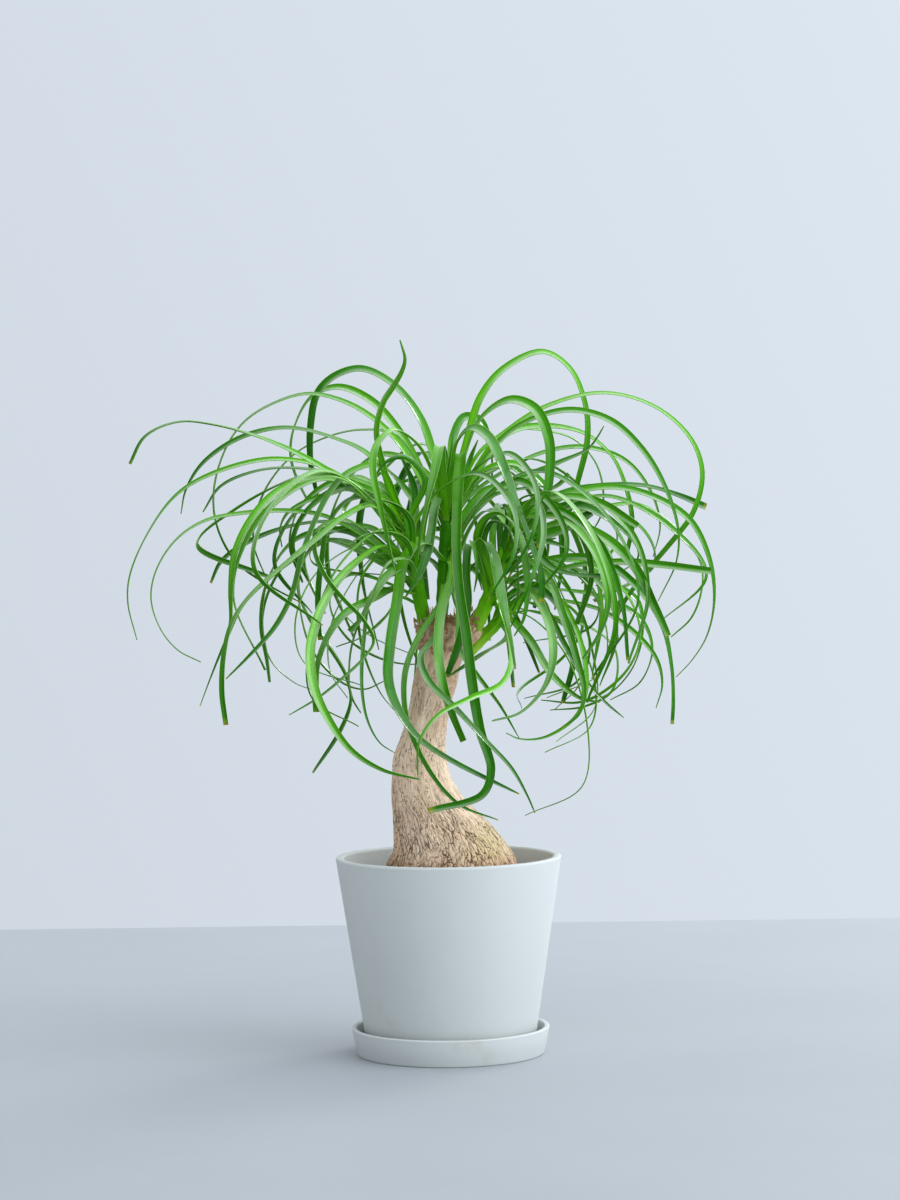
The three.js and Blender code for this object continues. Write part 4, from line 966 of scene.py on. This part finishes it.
def fibre_finish():
    """Dead leaf bases round the crown: dry, streaky and frayed."""
    finish = Finish("dry_fibre")
    along, tint = finish.measure("along"), finish.measure("tint")
    place = finish.place()
    streaks = finish.clouds(finish.upright(place, 0.15), 900, 4, 0.65)
    body = finish.painted(
        finish.mix(tint, paint("A87654"), paint("DDB48E")),
        (streaks.step(0.45, 0.72) * 0.5, "7A5538"),
        (along.step(0.6, 1) * 0.45, "E2C8A4"),
    )
    return finish.surface({
        "Base Color": body,
        "Roughness": 0.78 + streaks * 0.2,
        "Normal": finish.bump(streaks, 0.7, 0.0006),
    })


def plain_finish(name, colour, rough):
    """Plain studio floor with a barely visible mottle."""
    finish = Finish(name)
    clouds = finish.clouds(finish.place(), 3, 4, 0.55)
    body = finish.mix(clouds.step(0.3, 0.7) * 0.35, (*colour, 1), (*(0.9 * part for part in colour), 1))
    return finish.surface({"Base Color": body, "Roughness": rough + (clouds - 0.5) * 0.1})


# Modelling


def pick_nothing():
    """Leaves edit mode and selects nothing, so that an operator acts on its own piece alone."""
    if bpy.context.object and bpy.context.object.mode != "OBJECT":
        bpy.ops.object.mode_set(mode="OBJECT")
    bpy.ops.object.select_all(action="DESELECT")


def pick(*pieces):
    pick_nothing()
    for piece in pieces:
        piece.select_set(True)
    bpy.context.view_layer.objects.active = pieces[0]


def new_piece(name):
    """The piece that the last operator added, under its own name."""
    piece = bpy.context.object
    piece.name = piece.data.name = name
    return piece


def new_grid(name, columns, rows, size=2):
    """A square grid in so many columns and rows, to be shaped into a piece."""
    pick_nothing()
    bpy.ops.mesh.primitive_grid_add(x_subdivisions=columns, y_subdivisions=rows, size=size)
    return new_piece(name)


def apply_modifier(piece, kind, **settings):
    pick(piece)
    modifier = piece.modifiers.new(kind.lower(), kind)
    for name, setting in settings.items():
        setattr(modifier, name, setting)
    bpy.ops.object.modifier_apply(modifier=modifier.name)


def smooth(piece, angle):
    pick(piece)
    bpy.ops.object.shade_smooth_by_angle(angle=math.radians(angle))


def settle(piece, finish, slot, *nodes):
    """Puts a finished piece in the frame, with its place in its mesh."""
    pick(piece)
    bpy.ops.object.transform_apply(location=True, rotation=True, scale=True)
    piece.data.materials.clear()
    piece.data.materials.append(finish)
    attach(piece, "root")
    if nodes:
        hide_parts(*nodes)


def places_of(mesh):
    places = np.zeros(len(mesh.vertices) * 3)
    mesh.vertices.foreach_get("co", places)
    return places.reshape(-1, 3)


def move_to(mesh, places):
    mesh.vertices.foreach_set("co", places.astype(np.float32).ravel())
    mesh.update()


def measured(mesh, **values):
    """Stores a measure of each corner that the materials read."""
    for name, numbers in values.items():
        layer = mesh.attributes.get(name) or mesh.attributes.new(name, "FLOAT", "POINT")
        layer.data.foreach_set("value", np.broadcast_to(numbers, len(mesh.vertices)).astype(np.float32))


def copy_of(pattern, name):
    """A copy with its own mesh, linked beside its pattern."""
    twin = pattern.copy()
    twin.data = pattern.data.copy()
    twin.name = twin.data.name = name
    bpy.context.collection.objects.link(twin)
    return twin


def copies(pattern, name, rows):
    """A copy of the pattern for each row of places, in millimetres, and measures; the pattern goes."""
    pieces = []
    for places, measures in rows:
        piece = copy_of(pattern, name)
        move_to(piece.data, places * MM)
        measured(piece.data, **measures)
        pieces.append(piece)
    bpy.data.objects.remove(pattern)
    return pieces


def face_outwards():
    """Turns the faces of the piece that is being edited outwards."""
    bpy.ops.mesh.select_all(action="SELECT")
    bpy.ops.mesh.normals_make_consistent(inside=False)


def close(piece):
    """Joins a rolled-up grid along its seam, closes both ends and turns the faces outwards."""
    pick(piece)
    bpy.ops.object.mode_set(mode="EDIT")
    bpy.ops.mesh.select_all(action="SELECT")
    bpy.ops.mesh.remove_doubles(threshold=SEAM * MM)
    bpy.ops.mesh.select_all(action="DESELECT")
    bpy.ops.mesh.select_non_manifold()
    bpy.ops.mesh.fill_holes(sides=0)
    face_outwards()
    pick_nothing()


def joined(pieces, name):
    pick(*pieces)
    bpy.ops.object.join()
    return new_piece(name)


def turned(name, outline, sides, edge_round):
    """A turned piece: a ring extruded along its outline, then its corners rounded."""
    pick_nothing()
    radius, height = outline[0]
    bpy.ops.mesh.primitive_circle_add(vertices=sides, radius=radius * MM, location=(0, 0, height * MM))
    piece = new_piece(name)
    bpy.ops.object.transform_apply(location=True)
    bpy.ops.object.mode_set(mode="EDIT")
    bpy.ops.mesh.select_all(action="SELECT")
    for (radius, height), (next_radius, next_height) in zip(outline, outline[1:]):
        rise = {"value": (0, 0, (next_height - height) * MM)}
        bpy.ops.mesh.extrude_edges_move(TRANSFORM_OT_translate=rise)
        share = next_radius / radius
        bpy.ops.transform.resize(value=(share, share, 1), center_override=(0, 0, next_height * MM))
    if outline[-1] == outline[0]:
        bpy.ops.mesh.select_all(action="SELECT")
        bpy.ops.mesh.remove_doubles(threshold=1e-6)
    else:
        bpy.ops.mesh.edge_face_add()
        bpy.ops.mesh.select_all(action="DESELECT")
        bpy.ops.mesh.select_non_manifold()
        bpy.ops.mesh.edge_face_add()
    face_outwards()
    pick_nothing()
    rounding = {"width": edge_round * MM, "segments": TURNED["segments"], "limit_method": "ANGLE"}
    apply_modifier(piece, "BEVEL", **rounding, angle_limit=math.radians(TURNED["corner"]))
    smooth(piece, TURNED["crease"])
    return piece


def pot_radius(z):
    """Radius of the pot's outer wall at a height."""
    rise = (z - SAUCER["floor"]) / (POT["height"] - SAUCER["floor"])
    return between((POT["foot"], POT["rim"]), rise)


# Settings that a user would change


class PotSettings(bpy.types.PropertyGroup):
    """Look of the pot and its saucer."""

    sides: IntProperty(
        name="Sides", description="Straight sides round the pot", default=160, min=24, max=360
    )
    rounding: FloatProperty(
        name="Rounding", description="Edge rounding in millimetres", default=2.3, min=0.2
    )
    colour: FloatVectorProperty(
        name="Colour", description="Colour of the plastic", subtype="COLOR", default=(0.57, 0.588, 0.568)
    )
    stain: FloatProperty(
        name="Stain", description="Strength of the water marks", subtype="FACTOR", default=0.25,
        min=0, max=1,
    )


class SoilSettings(bpy.types.PropertyGroup):
    """Roughness of the soil."""

    cells: IntProperty(name="Cells", description="Cells across the soil's surface", default=130, min=20)
    crumbs: IntProperty(name="Crumbs", description="Loose crumbs on the soil", default=620, min=0)
    lumps: FloatProperty(
        name="Lumps", description="Height of its lumps in millimetres", default=3.2, min=0
    )


class TrunkSettings(bpy.types.PropertyGroup):
    """Fineness and relief of the trunk."""

    sides: IntProperty(name="Sides", description="Sides round the trunk", default=210, min=24)
    rings: IntProperty(name="Rings", description="Rings up the trunk", default=330, min=20)
    relief: FloatProperty(
        name="Relief", description="Depth of the bark, 1 as grown", default=1, min=0, max=3
    )
    flakes: IntProperty(name="Flakes", description="Dry leaf bases round the crown", default=270, min=0)


class FoliageSettings(bpy.types.PropertyGroup):
    """Fineness and section of the leaves."""

    stretches: IntProperty(
        name="Stretches", description="Straight stretches along a leaf", default=54, min=8
    )
    thick: FloatProperty(
        name="Thickness", description="Blade thickness in millimetres", default=0.7, min=0.6
    )
    channel: FloatProperty(
        name="Channel", description="Depth of its channel as a share of its half width",
        subtype="FACTOR", default=0.36, min=0, max=1,
    )
    glow: FloatProperty(
        name="Glow", description="Light passing through the blades", subtype="FACTOR", default=0.1,
        min=0, max=1,
    )
    # Strength of the pale sheen that is painted on what faces up
    sheen_paint: FloatProperty(
        name="Sheen", description="Pale bloom on what faces up", subtype="FACTOR", default=0.8,
        min=0, max=1,
    )


class StageSettings(bpy.types.PropertyGroup):
    """Floor, light and surroundings."""

    floor: FloatVectorProperty(
        name="Floor", description="Colour of the floor", subtype="COLOR", default=(0.385, 0.4, 0.415)
    )
    surround: FloatVectorProperty(
        name="Surround", description="Colour around the stage", subtype="COLOR",
        default=(0.75, 0.815, 0.89),
    )
    key: FloatProperty(
        name="Key light", description="Large soft light at the right", subtype="POWER", default=12, min=0
    )
    back: FloatProperty(
        name="Back light", description="Soft light behind at the right", subtype="POWER", default=13, min=0
    )
    fill: FloatProperty(
        name="Fill light", description="Soft light low at the left", subtype="POWER", default=5, min=0
    )


class PalmSettings(bpy.types.PropertyGroup):
    """All settings of the potted ponytail palm."""

    pot: PointerProperty(type=PotSettings, name="Pot", description="Look of the pot and saucer")
    soil: PointerProperty(type=SoilSettings, name="Soil", description="Roughness of the soil")
    trunk: PointerProperty(type=TrunkSettings, name="Trunk", description="Fineness of the trunk")
    foliage: PointerProperty(type=FoliageSettings, name="Foliage", description="Section of the leaves")
    stage: PointerProperty(type=StageSettings, name="Stage", description="Floor and light")


# Pieces


class PALM_OT_pot(bpy.types.Operator):
    """Turn the pot and its saucer"""

    bl_idname = "palm.pot"
    bl_label = "Pot and Saucer"

    def execute(self, context):
        settings = context.scene.palm.pot
        wall, foot, floor = POT["wall"], SAUCER["floor"], SAUCER["floor"] + POT["floor"]
        pot = turned("pot_shell", [
            (POT["drain"], foot),
            (pot_radius(foot), foot),
            (pot_radius(POT["height"]), POT["height"]),
            (pot_radius(POT["height"]) - wall, POT["height"]),
            (pot_radius(floor) - wall, floor),
            (POT["drain"], floor),
            (POT["drain"], foot),
        ], settings.sides, settings.rounding)
        settle(pot, pot_finish(settings, "pot_plastic"), "pot", "pot")
        saucer = turned("saucer_dish", [
            (SAUCER["foot"] / 2, 0),
            (SAUCER["foot"], 0),
            (SAUCER["rim"], SAUCER["height"]),
            (SAUCER["rim"] - SAUCER["wall"], SAUCER["height"]),
            (SAUCER["foot"] - SAUCER["wall"], SAUCER["floor"]),
            (SAUCER["foot"] / 2, SAUCER["floor"]),
        ], settings.sides, settings.rounding * SAUCER["rounding"])
        settle(saucer, pot_finish(settings, "saucer_plastic"), "saucer", "saucer")
        return {"FINISHED"}


def soil_height(x, y, lumps):
    """Height of the soil at a place: level, banked up at the wall, with crumbs at three sizes."""
    top = POT["height"] - SOIL["below_rim"]
    out = math.hypot(x, y) / (pot_radius(top) - POT["wall"])
    bank = SOIL["bank"] * max(0, out - (1 - SOIL["bank_share"])) / SOIL["bank_share"]
    broad, middle, fine = (
        noise.noise(Vector((x / size, y / size, layer))) for size, layer in SOIL_LUMPS
    )
    rough = broad + 0.7 * middle
    return top + bank - SOIL["dip"] * (1 - out) + lumps * (0.5 * rough + 0.45 * abs(fine))


class PALM_OT_soil(bpy.types.Operator):
    """Fill the pot with crumbly soil"""

    bl_idname = "palm.soil"
    bl_label = "Soil"

    def execute(self, context):
        settings = context.scene.palm.soil
        soil = new_grid("soil_bed", settings.cells, settings.cells)
        self.shape_bed(soil, settings)
        settle(soil, soil_finish("potting_soil", "2A1C12", "4A3524"), "soil", "soil")
        crumbs = self.scatter(settings)
        settle(crumbs, soil_finish("soil_crumb", "33241A", "6B5038"), "soil")
        return {"FINISHED"}

    def shape_bed(self, soil, settings):
        """Draws the square grid into a disc, raises its lumps and gives it depth."""
        top = POT["height"] - SOIL["below_rim"]
        places = places_of(soil.data)
        radius = pot_radius(top) - POT["wall"] - CLEARANCE
        flat = places[:, :2] * np.sqrt(1 - places[:, 1::-1] ** 2 / 2) * radius
        heights = [soil_height(x, y, settings.lumps) for x, y in flat]
        move_to(soil.data, np.column_stack([flat, heights]) * MM)
        pick(soil)
        bpy.ops.object.mode_set(mode="EDIT")
        bpy.ops.mesh.select_all(action="SELECT")
        depth = -(top - SAUCER["floor"] - POT["floor"]) * SOIL["deep"] * MM
        bpy.ops.mesh.extrude_region_move(TRANSFORM_OT_translate={"value": (0, 0, depth)})
        draft = (SOIL["draft"], SOIL["draft"], 1)
        bpy.ops.transform.resize(value=draft, center_override=(0, 0, 0))
        face_outwards()
        smooth(soil, CRUMBLY_ANGLE)

    def scatter(self, settings):
        """Loose crumbs: one lump, copied, turned and squashed over the bed."""
        pick_nothing()
        bpy.ops.mesh.primitive_ico_sphere_add(subdivisions=1, radius=1)
        pattern = new_piece("soil_crumbs")
        lump = places_of(pattern.data)
        lump *= 1 + CRUMB["uneven"] * np.sin(7 * lump[:, [1, 2, 0]])
        rows = ((self.crumb(lump, i, settings.lumps), {}) for i in range(settings.crumbs))
        return joined(copies(pattern, "soil_crumb", rows), "soil_crumbs")

    def crumb(self, lump, i, lumps):
        """Places of the i-th crumb on the bed, from those of the common lump."""
        reach = pot_radius(POT["height"] - SOIL["below_rim"]) - POT["wall"] - CRUMB["margin"]
        angle = 2 * math.pi * drawn(i, CRUMB_STEP["angle"])
        out = reach * math.sqrt(between(CRUMB["inmost"], drawn(i, CRUMB_STEP["out"])))
        x, y = out * math.cos(angle), out * math.sin(angle)
        size = between(CRUMB["size"], drawn(i, CRUMB_STEP["size"]) ** CRUMB["rare"])
        turn = Matrix.Rotation(7 * angle, 3, "Z") @ Matrix.Rotation(5 * angle, 3, "X")
        shape = (lump * (size * CRUMB["shape"])) @ np.array(turn)
        return shape + (x, y, soil_height(x, y, lumps) + CRUMB["lift"] * size)


def bark_relief(place, angle, z, relief):
    """How far the bark stands out at a place on the trunk, and how deep in a fissure the place is."""
    foot = min(max((BARK["foot"][0] - z) / BARK["foot"][1], 0), 1)
    crown = min(max((z - BARK["crown"][0]) / BARK["crown"][1], 0), 1)
    x, y = math.cos(angle) * BARK_ROUND, math.sin(angle) * BARK_ROUND
    (rib, ribs, climb), (fine_rib, fine_ribs, fine_climb) = BARK["ribs"]
    ridges = rib * math.cos(ribs * angle - z / climb)
    ridges += fine_rib * math.cos(fine_ribs * angle + BARK["wander"] * math.sin(z / fine_climb))
    out, size = BARK["swell"]
    swell = out * noise.noise(place / size)
    slit_out, size, tall = BARK["slit"]
    slit = max(0, 1 - abs(noise.noise(Vector((x / size, y / size, z / tall)))) / BARK["slit_edge"])
    size, more = BARK["slit_spread"]
    slit *= max(0, noise.noise(place / size) + more)
    plate_out, size, tall = BARK["plate"]
    near, far = noise.voronoi(Vector((x / size, y / size, z / tall)))[0][:2]
    plate = max(0, 1 - (far - near) / BARK["plate_edge"])
    out, size, tall = BARK["scar"]
    scar = out * noise.noise(Vector((place.x / size, place.y / size, place.z / tall)))
    carved = (1 - 0.6 * foot) * slit * slit_out + foot * plate * plate_out
    out, size = BARK["grain"]
    out = ridges + swell - relief * carved + crown * scar + relief * out * noise.noise(place / size)
    return out, min(1, carved)


class PALM_OT_trunk(bpy.types.Operator):
    """Grow the trunk with its bark and the dry leaf bases round its crown"""

    bl_idname = "palm.trunk"
    bl_label = "Trunk"

    def execute(self, context):
        settings = context.scene.palm.trunk
        trunk = new_grid("trunk_bark", settings.sides, settings.rings)
        self.carve(trunk, settings)
        close(trunk)
        pick(trunk)
        bpy.ops.object.shade_smooth()
        settle(trunk, bark_finish(settings), "bark", "trunk")
        crown = self.fray(settings)
        settle(crown, fibre_finish(), "bark")
        return {"FINISHED"}

    def carve(self, trunk, settings):
        """Rolls the grid up into the trunk, ring by ring, with the bark's relief."""
        low, high = TRUNK_LEVELS[0].z, TRUNK_LEVELS[-1].z
        grid = places_of(trunk.data)
        places, grown, cracks = np.zeros_like(grid), np.zeros_like(grid), np.zeros(len(grid))
        rings = {}
        for i, (u, v, _) in enumerate(grid):
            angle, share = (u + SEAM_AT) * math.pi, (v + 1) / 2
            if share not in rings:
                over = max(0, share - CROWN_SHARE) / (1 - CROWN_SHARE)
                z = low + (high - low) * min(1, share / CROWN_SHARE)
                measures = [level(measure, z) for measure in ("x", "y", "across", "deep")]
                rings[share] = (z, over, measures)
            z, over, (x, y, across, deep) = rings[share]
            inward = math.cos(over * math.pi / 2 * CROWN_CLOSED)
            bare = Vector((x + across * math.cos(angle), y + deep * math.sin(angle), z))
            out, cracks[i] = bark_relief(bare, angle, z, settings.relief)
            out *= inward
            grown[i] = (BARK_ROUND * math.cos(angle), BARK_ROUND * math.sin(angle), z)
            places[i] = (
                x + (across * inward + out) * math.cos(angle),
                y + (deep * inward + out) * math.sin(angle),
                z + CROWN_RISE * math.sin(over * math.pi / 2) + over * CROWN_ROUGH * noise.noise(bare / 5),
            )
        move_to(trunk.data, places * MM)
        measured(trunk.data, carved=cracks)
        layer = trunk.data.attributes.new("grown", "FLOAT_VECTOR", "POINT")
        layer.data.foreach_set("vector", (grown * MM).astype(np.float32).ravel())

    def fray(self, settings):
        """Dry leaf bases: one flake, copied round the crown, each bent outwards its own way."""
        pattern = new_grid("crown_flakes", *FLAKE["cells"])
        apply_modifier(pattern, "SOLIDIFY", thickness=1, offset=0)
        grid = places_of(pattern.data)
        rows = (self.flake(grid, i) for i in range(settings.flakes))
        crown = joined(copies(pattern, "crown_flake", rows), "crown_flakes")
        smooth(crown, CRUMBLY_ANGLE)
        return crown

    def flake(self, grid, i):
        """Places and measures of the i-th flake."""
        angle = 2 * math.pi * drawn(i, FLAKE_STEP["angle"])
        z, long, wide, lean, taper = (
            between(FLAKE[measure], drawn(i, FLAKE_STEP[measure]))
            for measure in ("height", "long", "wide", "lean", "taper")
        )
        out = Vector((math.cos(angle), math.sin(angle), 0))
        tilt = FLAKE["tilt"] * (drawn(i, FLAKE_STEP["turn"]) - 0.5)
        side = Vector((-out.y, out.x, tilt)).normalized()
        x = level("x", z) + level("across", z) * out.x
        y = level("y", z) + level("deep", z) * out.y
        root = Vector((x, y, z)) - out * FLAKE["sunk"]
        share = (grid[:, 0] + 1) / 2
        bend = lean * share**1.5
        along = long * share
        half = wide / 2 * (1 - share**2.2 * taper)
        frayed = 1 + FLAKE["ragged"] * np.sin(FLAKE["teeth"] * grid[:, 1] + i) * share**2
        places = (
            np.array(root)
            + np.outer(along * np.cos(bend) * frayed, (0, 0, 1))
            + np.outer(along * np.sin(bend) + 0.5 * FLAKE["thick"] * grid[:, 2], out)
            + np.outer(half * grid[:, 1], side)
        )
        return places, {"along": share, "tint": drawn(i, TINT_STEP)}


def blade_frames(leaf, coarse, points, shares, phase):
    """Directions across the blade and out of its upper face, level at the root and turned evenly."""
    middle = coarse[math.ceil((len(coarse) - 1) / 2)] - coarse[0]
    sideways = middle[0] / math.hypot(middle[0], middle[1])
    side = np.array([-middle[1], middle[0], 0])
    ahead = np.vstack([points[1:], points[-1:]]) - np.vstack([points[:1], points[:-1]])
    tangents = ahead / np.linalg.norm(ahead, axis=1)[:, None]
    across, faces = [], []
    for tangent, share in zip(tangents, shares):
        side = side - tangent * (side @ tangent)
        side /= np.linalg.norm(side)
        turn = sideways * min(1, share / TURN["share"]) + TURN["twist"] * share
        sway = SWAY["turn"] * share * math.sin(SWAY["waves"] * share + phase)
        roll = math.radians(leaf.roll * turn + sway)
        turned_side = side * math.cos(roll) + np.cross(tangent, side) * math.sin(roll)
        across.append(turned_side)
        faces.append(np.cross(tangent, turned_side))
    return np.array(across), np.array(faces)


class PALM_OT_foliage(bpy.types.Operator):
    """Grow the four leafy shoots with all their leaves"""

    bl_idname = "palm.foliage"
    bl_label = "Leafy Shoots"

    def execute(self, context):
        settings = context.scene.palm.foliage
        finish = leaf_finish(settings)
        pattern = self.blade_pattern(settings)
        grid = places_of(pattern.data)
        heads = {head: [self.stem(head)] for head in SHOOTS}
        rows = grow_leaves() + grow_wisps()
        bent = (self.bent(grid, row, settings, drawn(i, TINT_STEP)) for i, row in enumerate(rows))
        for row, leaf in zip(rows, copies(pattern, "leaf", bent)):
            heads[row["head"]].append(leaf)
        for head, parts in heads.items():
            shoot = joined(parts, head + "_leaves")
            smooth(shoot, FOLD["crease"])
            settle(shoot, finish, "leaf", head)
        return {"FINISHED"}

    def blade_pattern(self, settings):
        """One straight flat blade with a thin body, before it is bent."""
        pattern = new_grid("leaf", settings.stretches, FOLD["cells"])
        apply_modifier(pattern, "SOLIDIFY", thickness=1, offset=0)
        return pattern

    def bent(self, grid, row, settings, tint):
        """A straight blade bent along a leaf's middle line, with a channel down its upper face."""
        points, shares = middle_line(row["route"], FINE_STEPS, settings.stretches)
        across, faces = blade_frames(row["leaf"], row["line"][0], points, shares, 2 * math.pi * tint)
        ring = np.rint((grid[:, 0] + 1) / 2 * settings.stretches).astype(int)
        share = shares[ring]
        half = half_width(row["leaf"], share)
        thick = min(settings.thick, FOLD["thickest"] * row["leaf"].wide)
        fold = np.sqrt(grid[:, 1] ** 2 + FOLD["round"] ** 2)
        over = thick * grid[:, 2] + settings.channel * half * (fold - 0.5)
        places = points[ring] + across[ring] * (half * grid[:, 1])[:, None] + faces[ring] * over[:, None]
        along = share * row.get("tip", 1)
        upper = (grid[:, 2] > 0) * 1.0
        # Painted sheen: how far each place faces up, reckoned from a steeper fold than the blade's own, so
        # that one half and the edges of a blade are painted paler
        lean = SHEEN_LEAN["half"] * np.sign(grid[:, 1]) + SHEEN_LEAN["edge"] * grid[:, 1]
        normals = faces[ring] - across[ring] * lean[:, None]
        bloom = np.clip(normals[:, 2] * (2 * upper - 1), 0, 1)
        measures = {"along": along, "across": grid[:, 1], "upper": upper, "bloom": bloom, "tint": tint}
        return places, measures

    def stem(self, head):
        """Green stem of a head: a tapered column ribbed by the clasping leaf bases."""
        foot, top, radii = SHOOTS[head]
        axis = Vector(top) - Vector(foot)
        stem = new_grid("stem", STEM["sides"], STEM["rings"])
        turn = np.array(Vector((0, 0, 1)).rotation_difference(axis).to_matrix())
        grid = places_of(stem.data)
        angle, share = (grid[:, 0] + 1) * math.pi, (grid[:, 1] + 1) / 2
        clasp = np.abs(np.sin(STEM["clasps"] * share * math.pi + 1.5 * angle))
        full = between((STEM["slim"], 1), np.minimum(1, share / STEM["full_at"]))
        radius = between(radii, share) * full
        radius *= 1 + STEM["oval"] * np.cos(5 * angle + 3 * share) + STEM["clasp"] * clasp**6
        radius *= np.sqrt(np.clip((1 - share) / STEM["dome"], 0, 1))
        column = np.column_stack([radius * np.cos(angle), radius * np.sin(angle), share * axis.length])
        move_to(stem.data, (column @ turn.T + foot) * MM)
        grown, tint = STEM_GREEN[head]
        ribs = np.sin(STEM["ribs"] * angle + 4 * share) * 0.95
        # Stems get no painted sheen
        measured(stem.data, along=grown + 0.2 * share, across=ribs, upper=1.0, bloom=0.0, tint=tint)
        close(stem)
        return stem


class PALM_OT_stage(bpy.types.Operator):
    """Set the camera, the floor and the light"""

    bl_idname = "palm.stage"
    bl_label = "Stage"

    def execute(self, context):
        settings = context.scene.palm.stage
        self.look(context.scene)
        self.lay_floor(settings)
        for name, lamp in LAMPS.items():
            self.light(name + "_light", *lamp, getattr(settings, name))
        self.surround(context.scene, settings)
        context.scene.view_settings.view_transform = "Standard"
        context.scene.view_settings.look = "Medium High Contrast"
        return {"FINISHED"}

    def surround(self, scene, settings):
        """Surroundings that are bright behind and at the right, and dim at the left and in front."""
        world = bpy.data.worlds.new("studio")
        world.use_nodes = True
        nodes, links = world.node_tree.nodes, world.node_tree.links
        place = nodes.new("ShaderNodeTexCoord")
        toward = nodes.new("ShaderNodeVectorMath")
        toward.operation = "DOT_PRODUCT"
        toward.inputs[1].default_value = Vector(WINDOW).normalized() / 2
        share = nodes.new("ShaderNodeMath")
        share.inputs[1].default_value = 0.5
        ramp = nodes.new("ShaderNodeValToRGB")
        stops = ramp.color_ramp.elements
        for _ in SURROUND[2:]:
            stops.new(0.5)
        for stop, (at, bright) in zip(stops, SURROUND):
            stop.position = at
            stop.color = (*(bright * part for part in settings.surround), 1)
        links.new(place.outputs["Generated"], toward.inputs[0])
        links.new(toward.outputs["Value"], share.inputs[0])
        links.new(share.outputs["Value"], ramp.inputs["Fac"])
        links.new(ramp.outputs["Color"], nodes["Background"].inputs["Color"])
        scene.world = world

    def look(self, scene):
        """The photograph's viewing point."""
        camera = bpy.data.objects.new("camera", bpy.data.cameras.new("camera"))
        bpy.context.collection.objects.link(camera)
        camera.data.sensor_width = SENSOR
        camera.data.lens = VIEW["focal"] * SENSOR / FRAME_LONG_SIDE
        place = Matrix.Translation(Vector((VIEW["x"], -VIEW["distance"], VIEW["height"])) * MM)
        tilt = Matrix.Rotation(math.pi / 2 - VIEW_TILT, 4, "X")
        camera.matrix_world = place @ tilt @ Matrix.Rotation(-VIEW_ROLL, 4, "Z")
        scene.camera = camera

    def lay_floor(self, settings):
        floor = new_grid("floor", FLOOR_CELLS, FLOOR_CELLS, size=1)
        grid = places_of(floor.data) + (0.5, 0.5, 0)
        low, high = np.array(FLOOR)
        move_to(floor.data, (low + grid * (high - low)) * MM)
        floor.data.materials.append(plain_finish("studio_floor", tuple(settings.floor), FLOOR_ROUGH))

    def light(self, name, place, aim, size, power):
        lamp = bpy.data.lights.new(name, "AREA")
        lamp.shape, lamp.size, lamp.energy = "DISK", size, power
        lamp_object = bpy.data.objects.new(name, lamp)
        bpy.context.collection.objects.link(lamp_object)
        lamp_object.location = place
        lamp_object.rotation_euler = (Vector(aim) - Vector(place)).to_track_quat("-Z", "Y").to_euler()


class PALM_PT_panel(bpy.types.Panel):
    """Buttons for every piece of the potted ponytail palm"""

    bl_idname = "PALM_PT_panel"
    bl_label = "Ponytail Palm"
    bl_space_type = "VIEW_3D"
    bl_region_type = "UI"
    bl_category = "Ponytail Palm"

    def draw(self, context):
        for piece in PIECES:
            self.layout.operator(piece.bl_idname)


PIECES = (PALM_OT_stage, PALM_OT_pot, PALM_OT_soil, PALM_OT_trunk, PALM_OT_foliage)
GROUPS = (PotSettings, SoilSettings, TrunkSettings, FoliageSettings, StageSettings, PalmSettings)


def register():
    for group in (*GROUPS, *PIECES, PALM_PT_panel):
        bpy.utils.register_class(group)
    bpy.types.Scene.palm = PointerProperty(type=PalmSettings)


def unregister():
    del bpy.types.Scene.palm
    for group in reversed((*GROUPS, *PIECES, PALM_PT_panel)):
        bpy.utils.unregister_class(group)


def main():
    register()
    for piece in PIECES:
        family, name = piece.bl_idname.split(".")
        getattr(getattr(bpy.ops, family), name)()


if __name__ == "__main__":
    main()
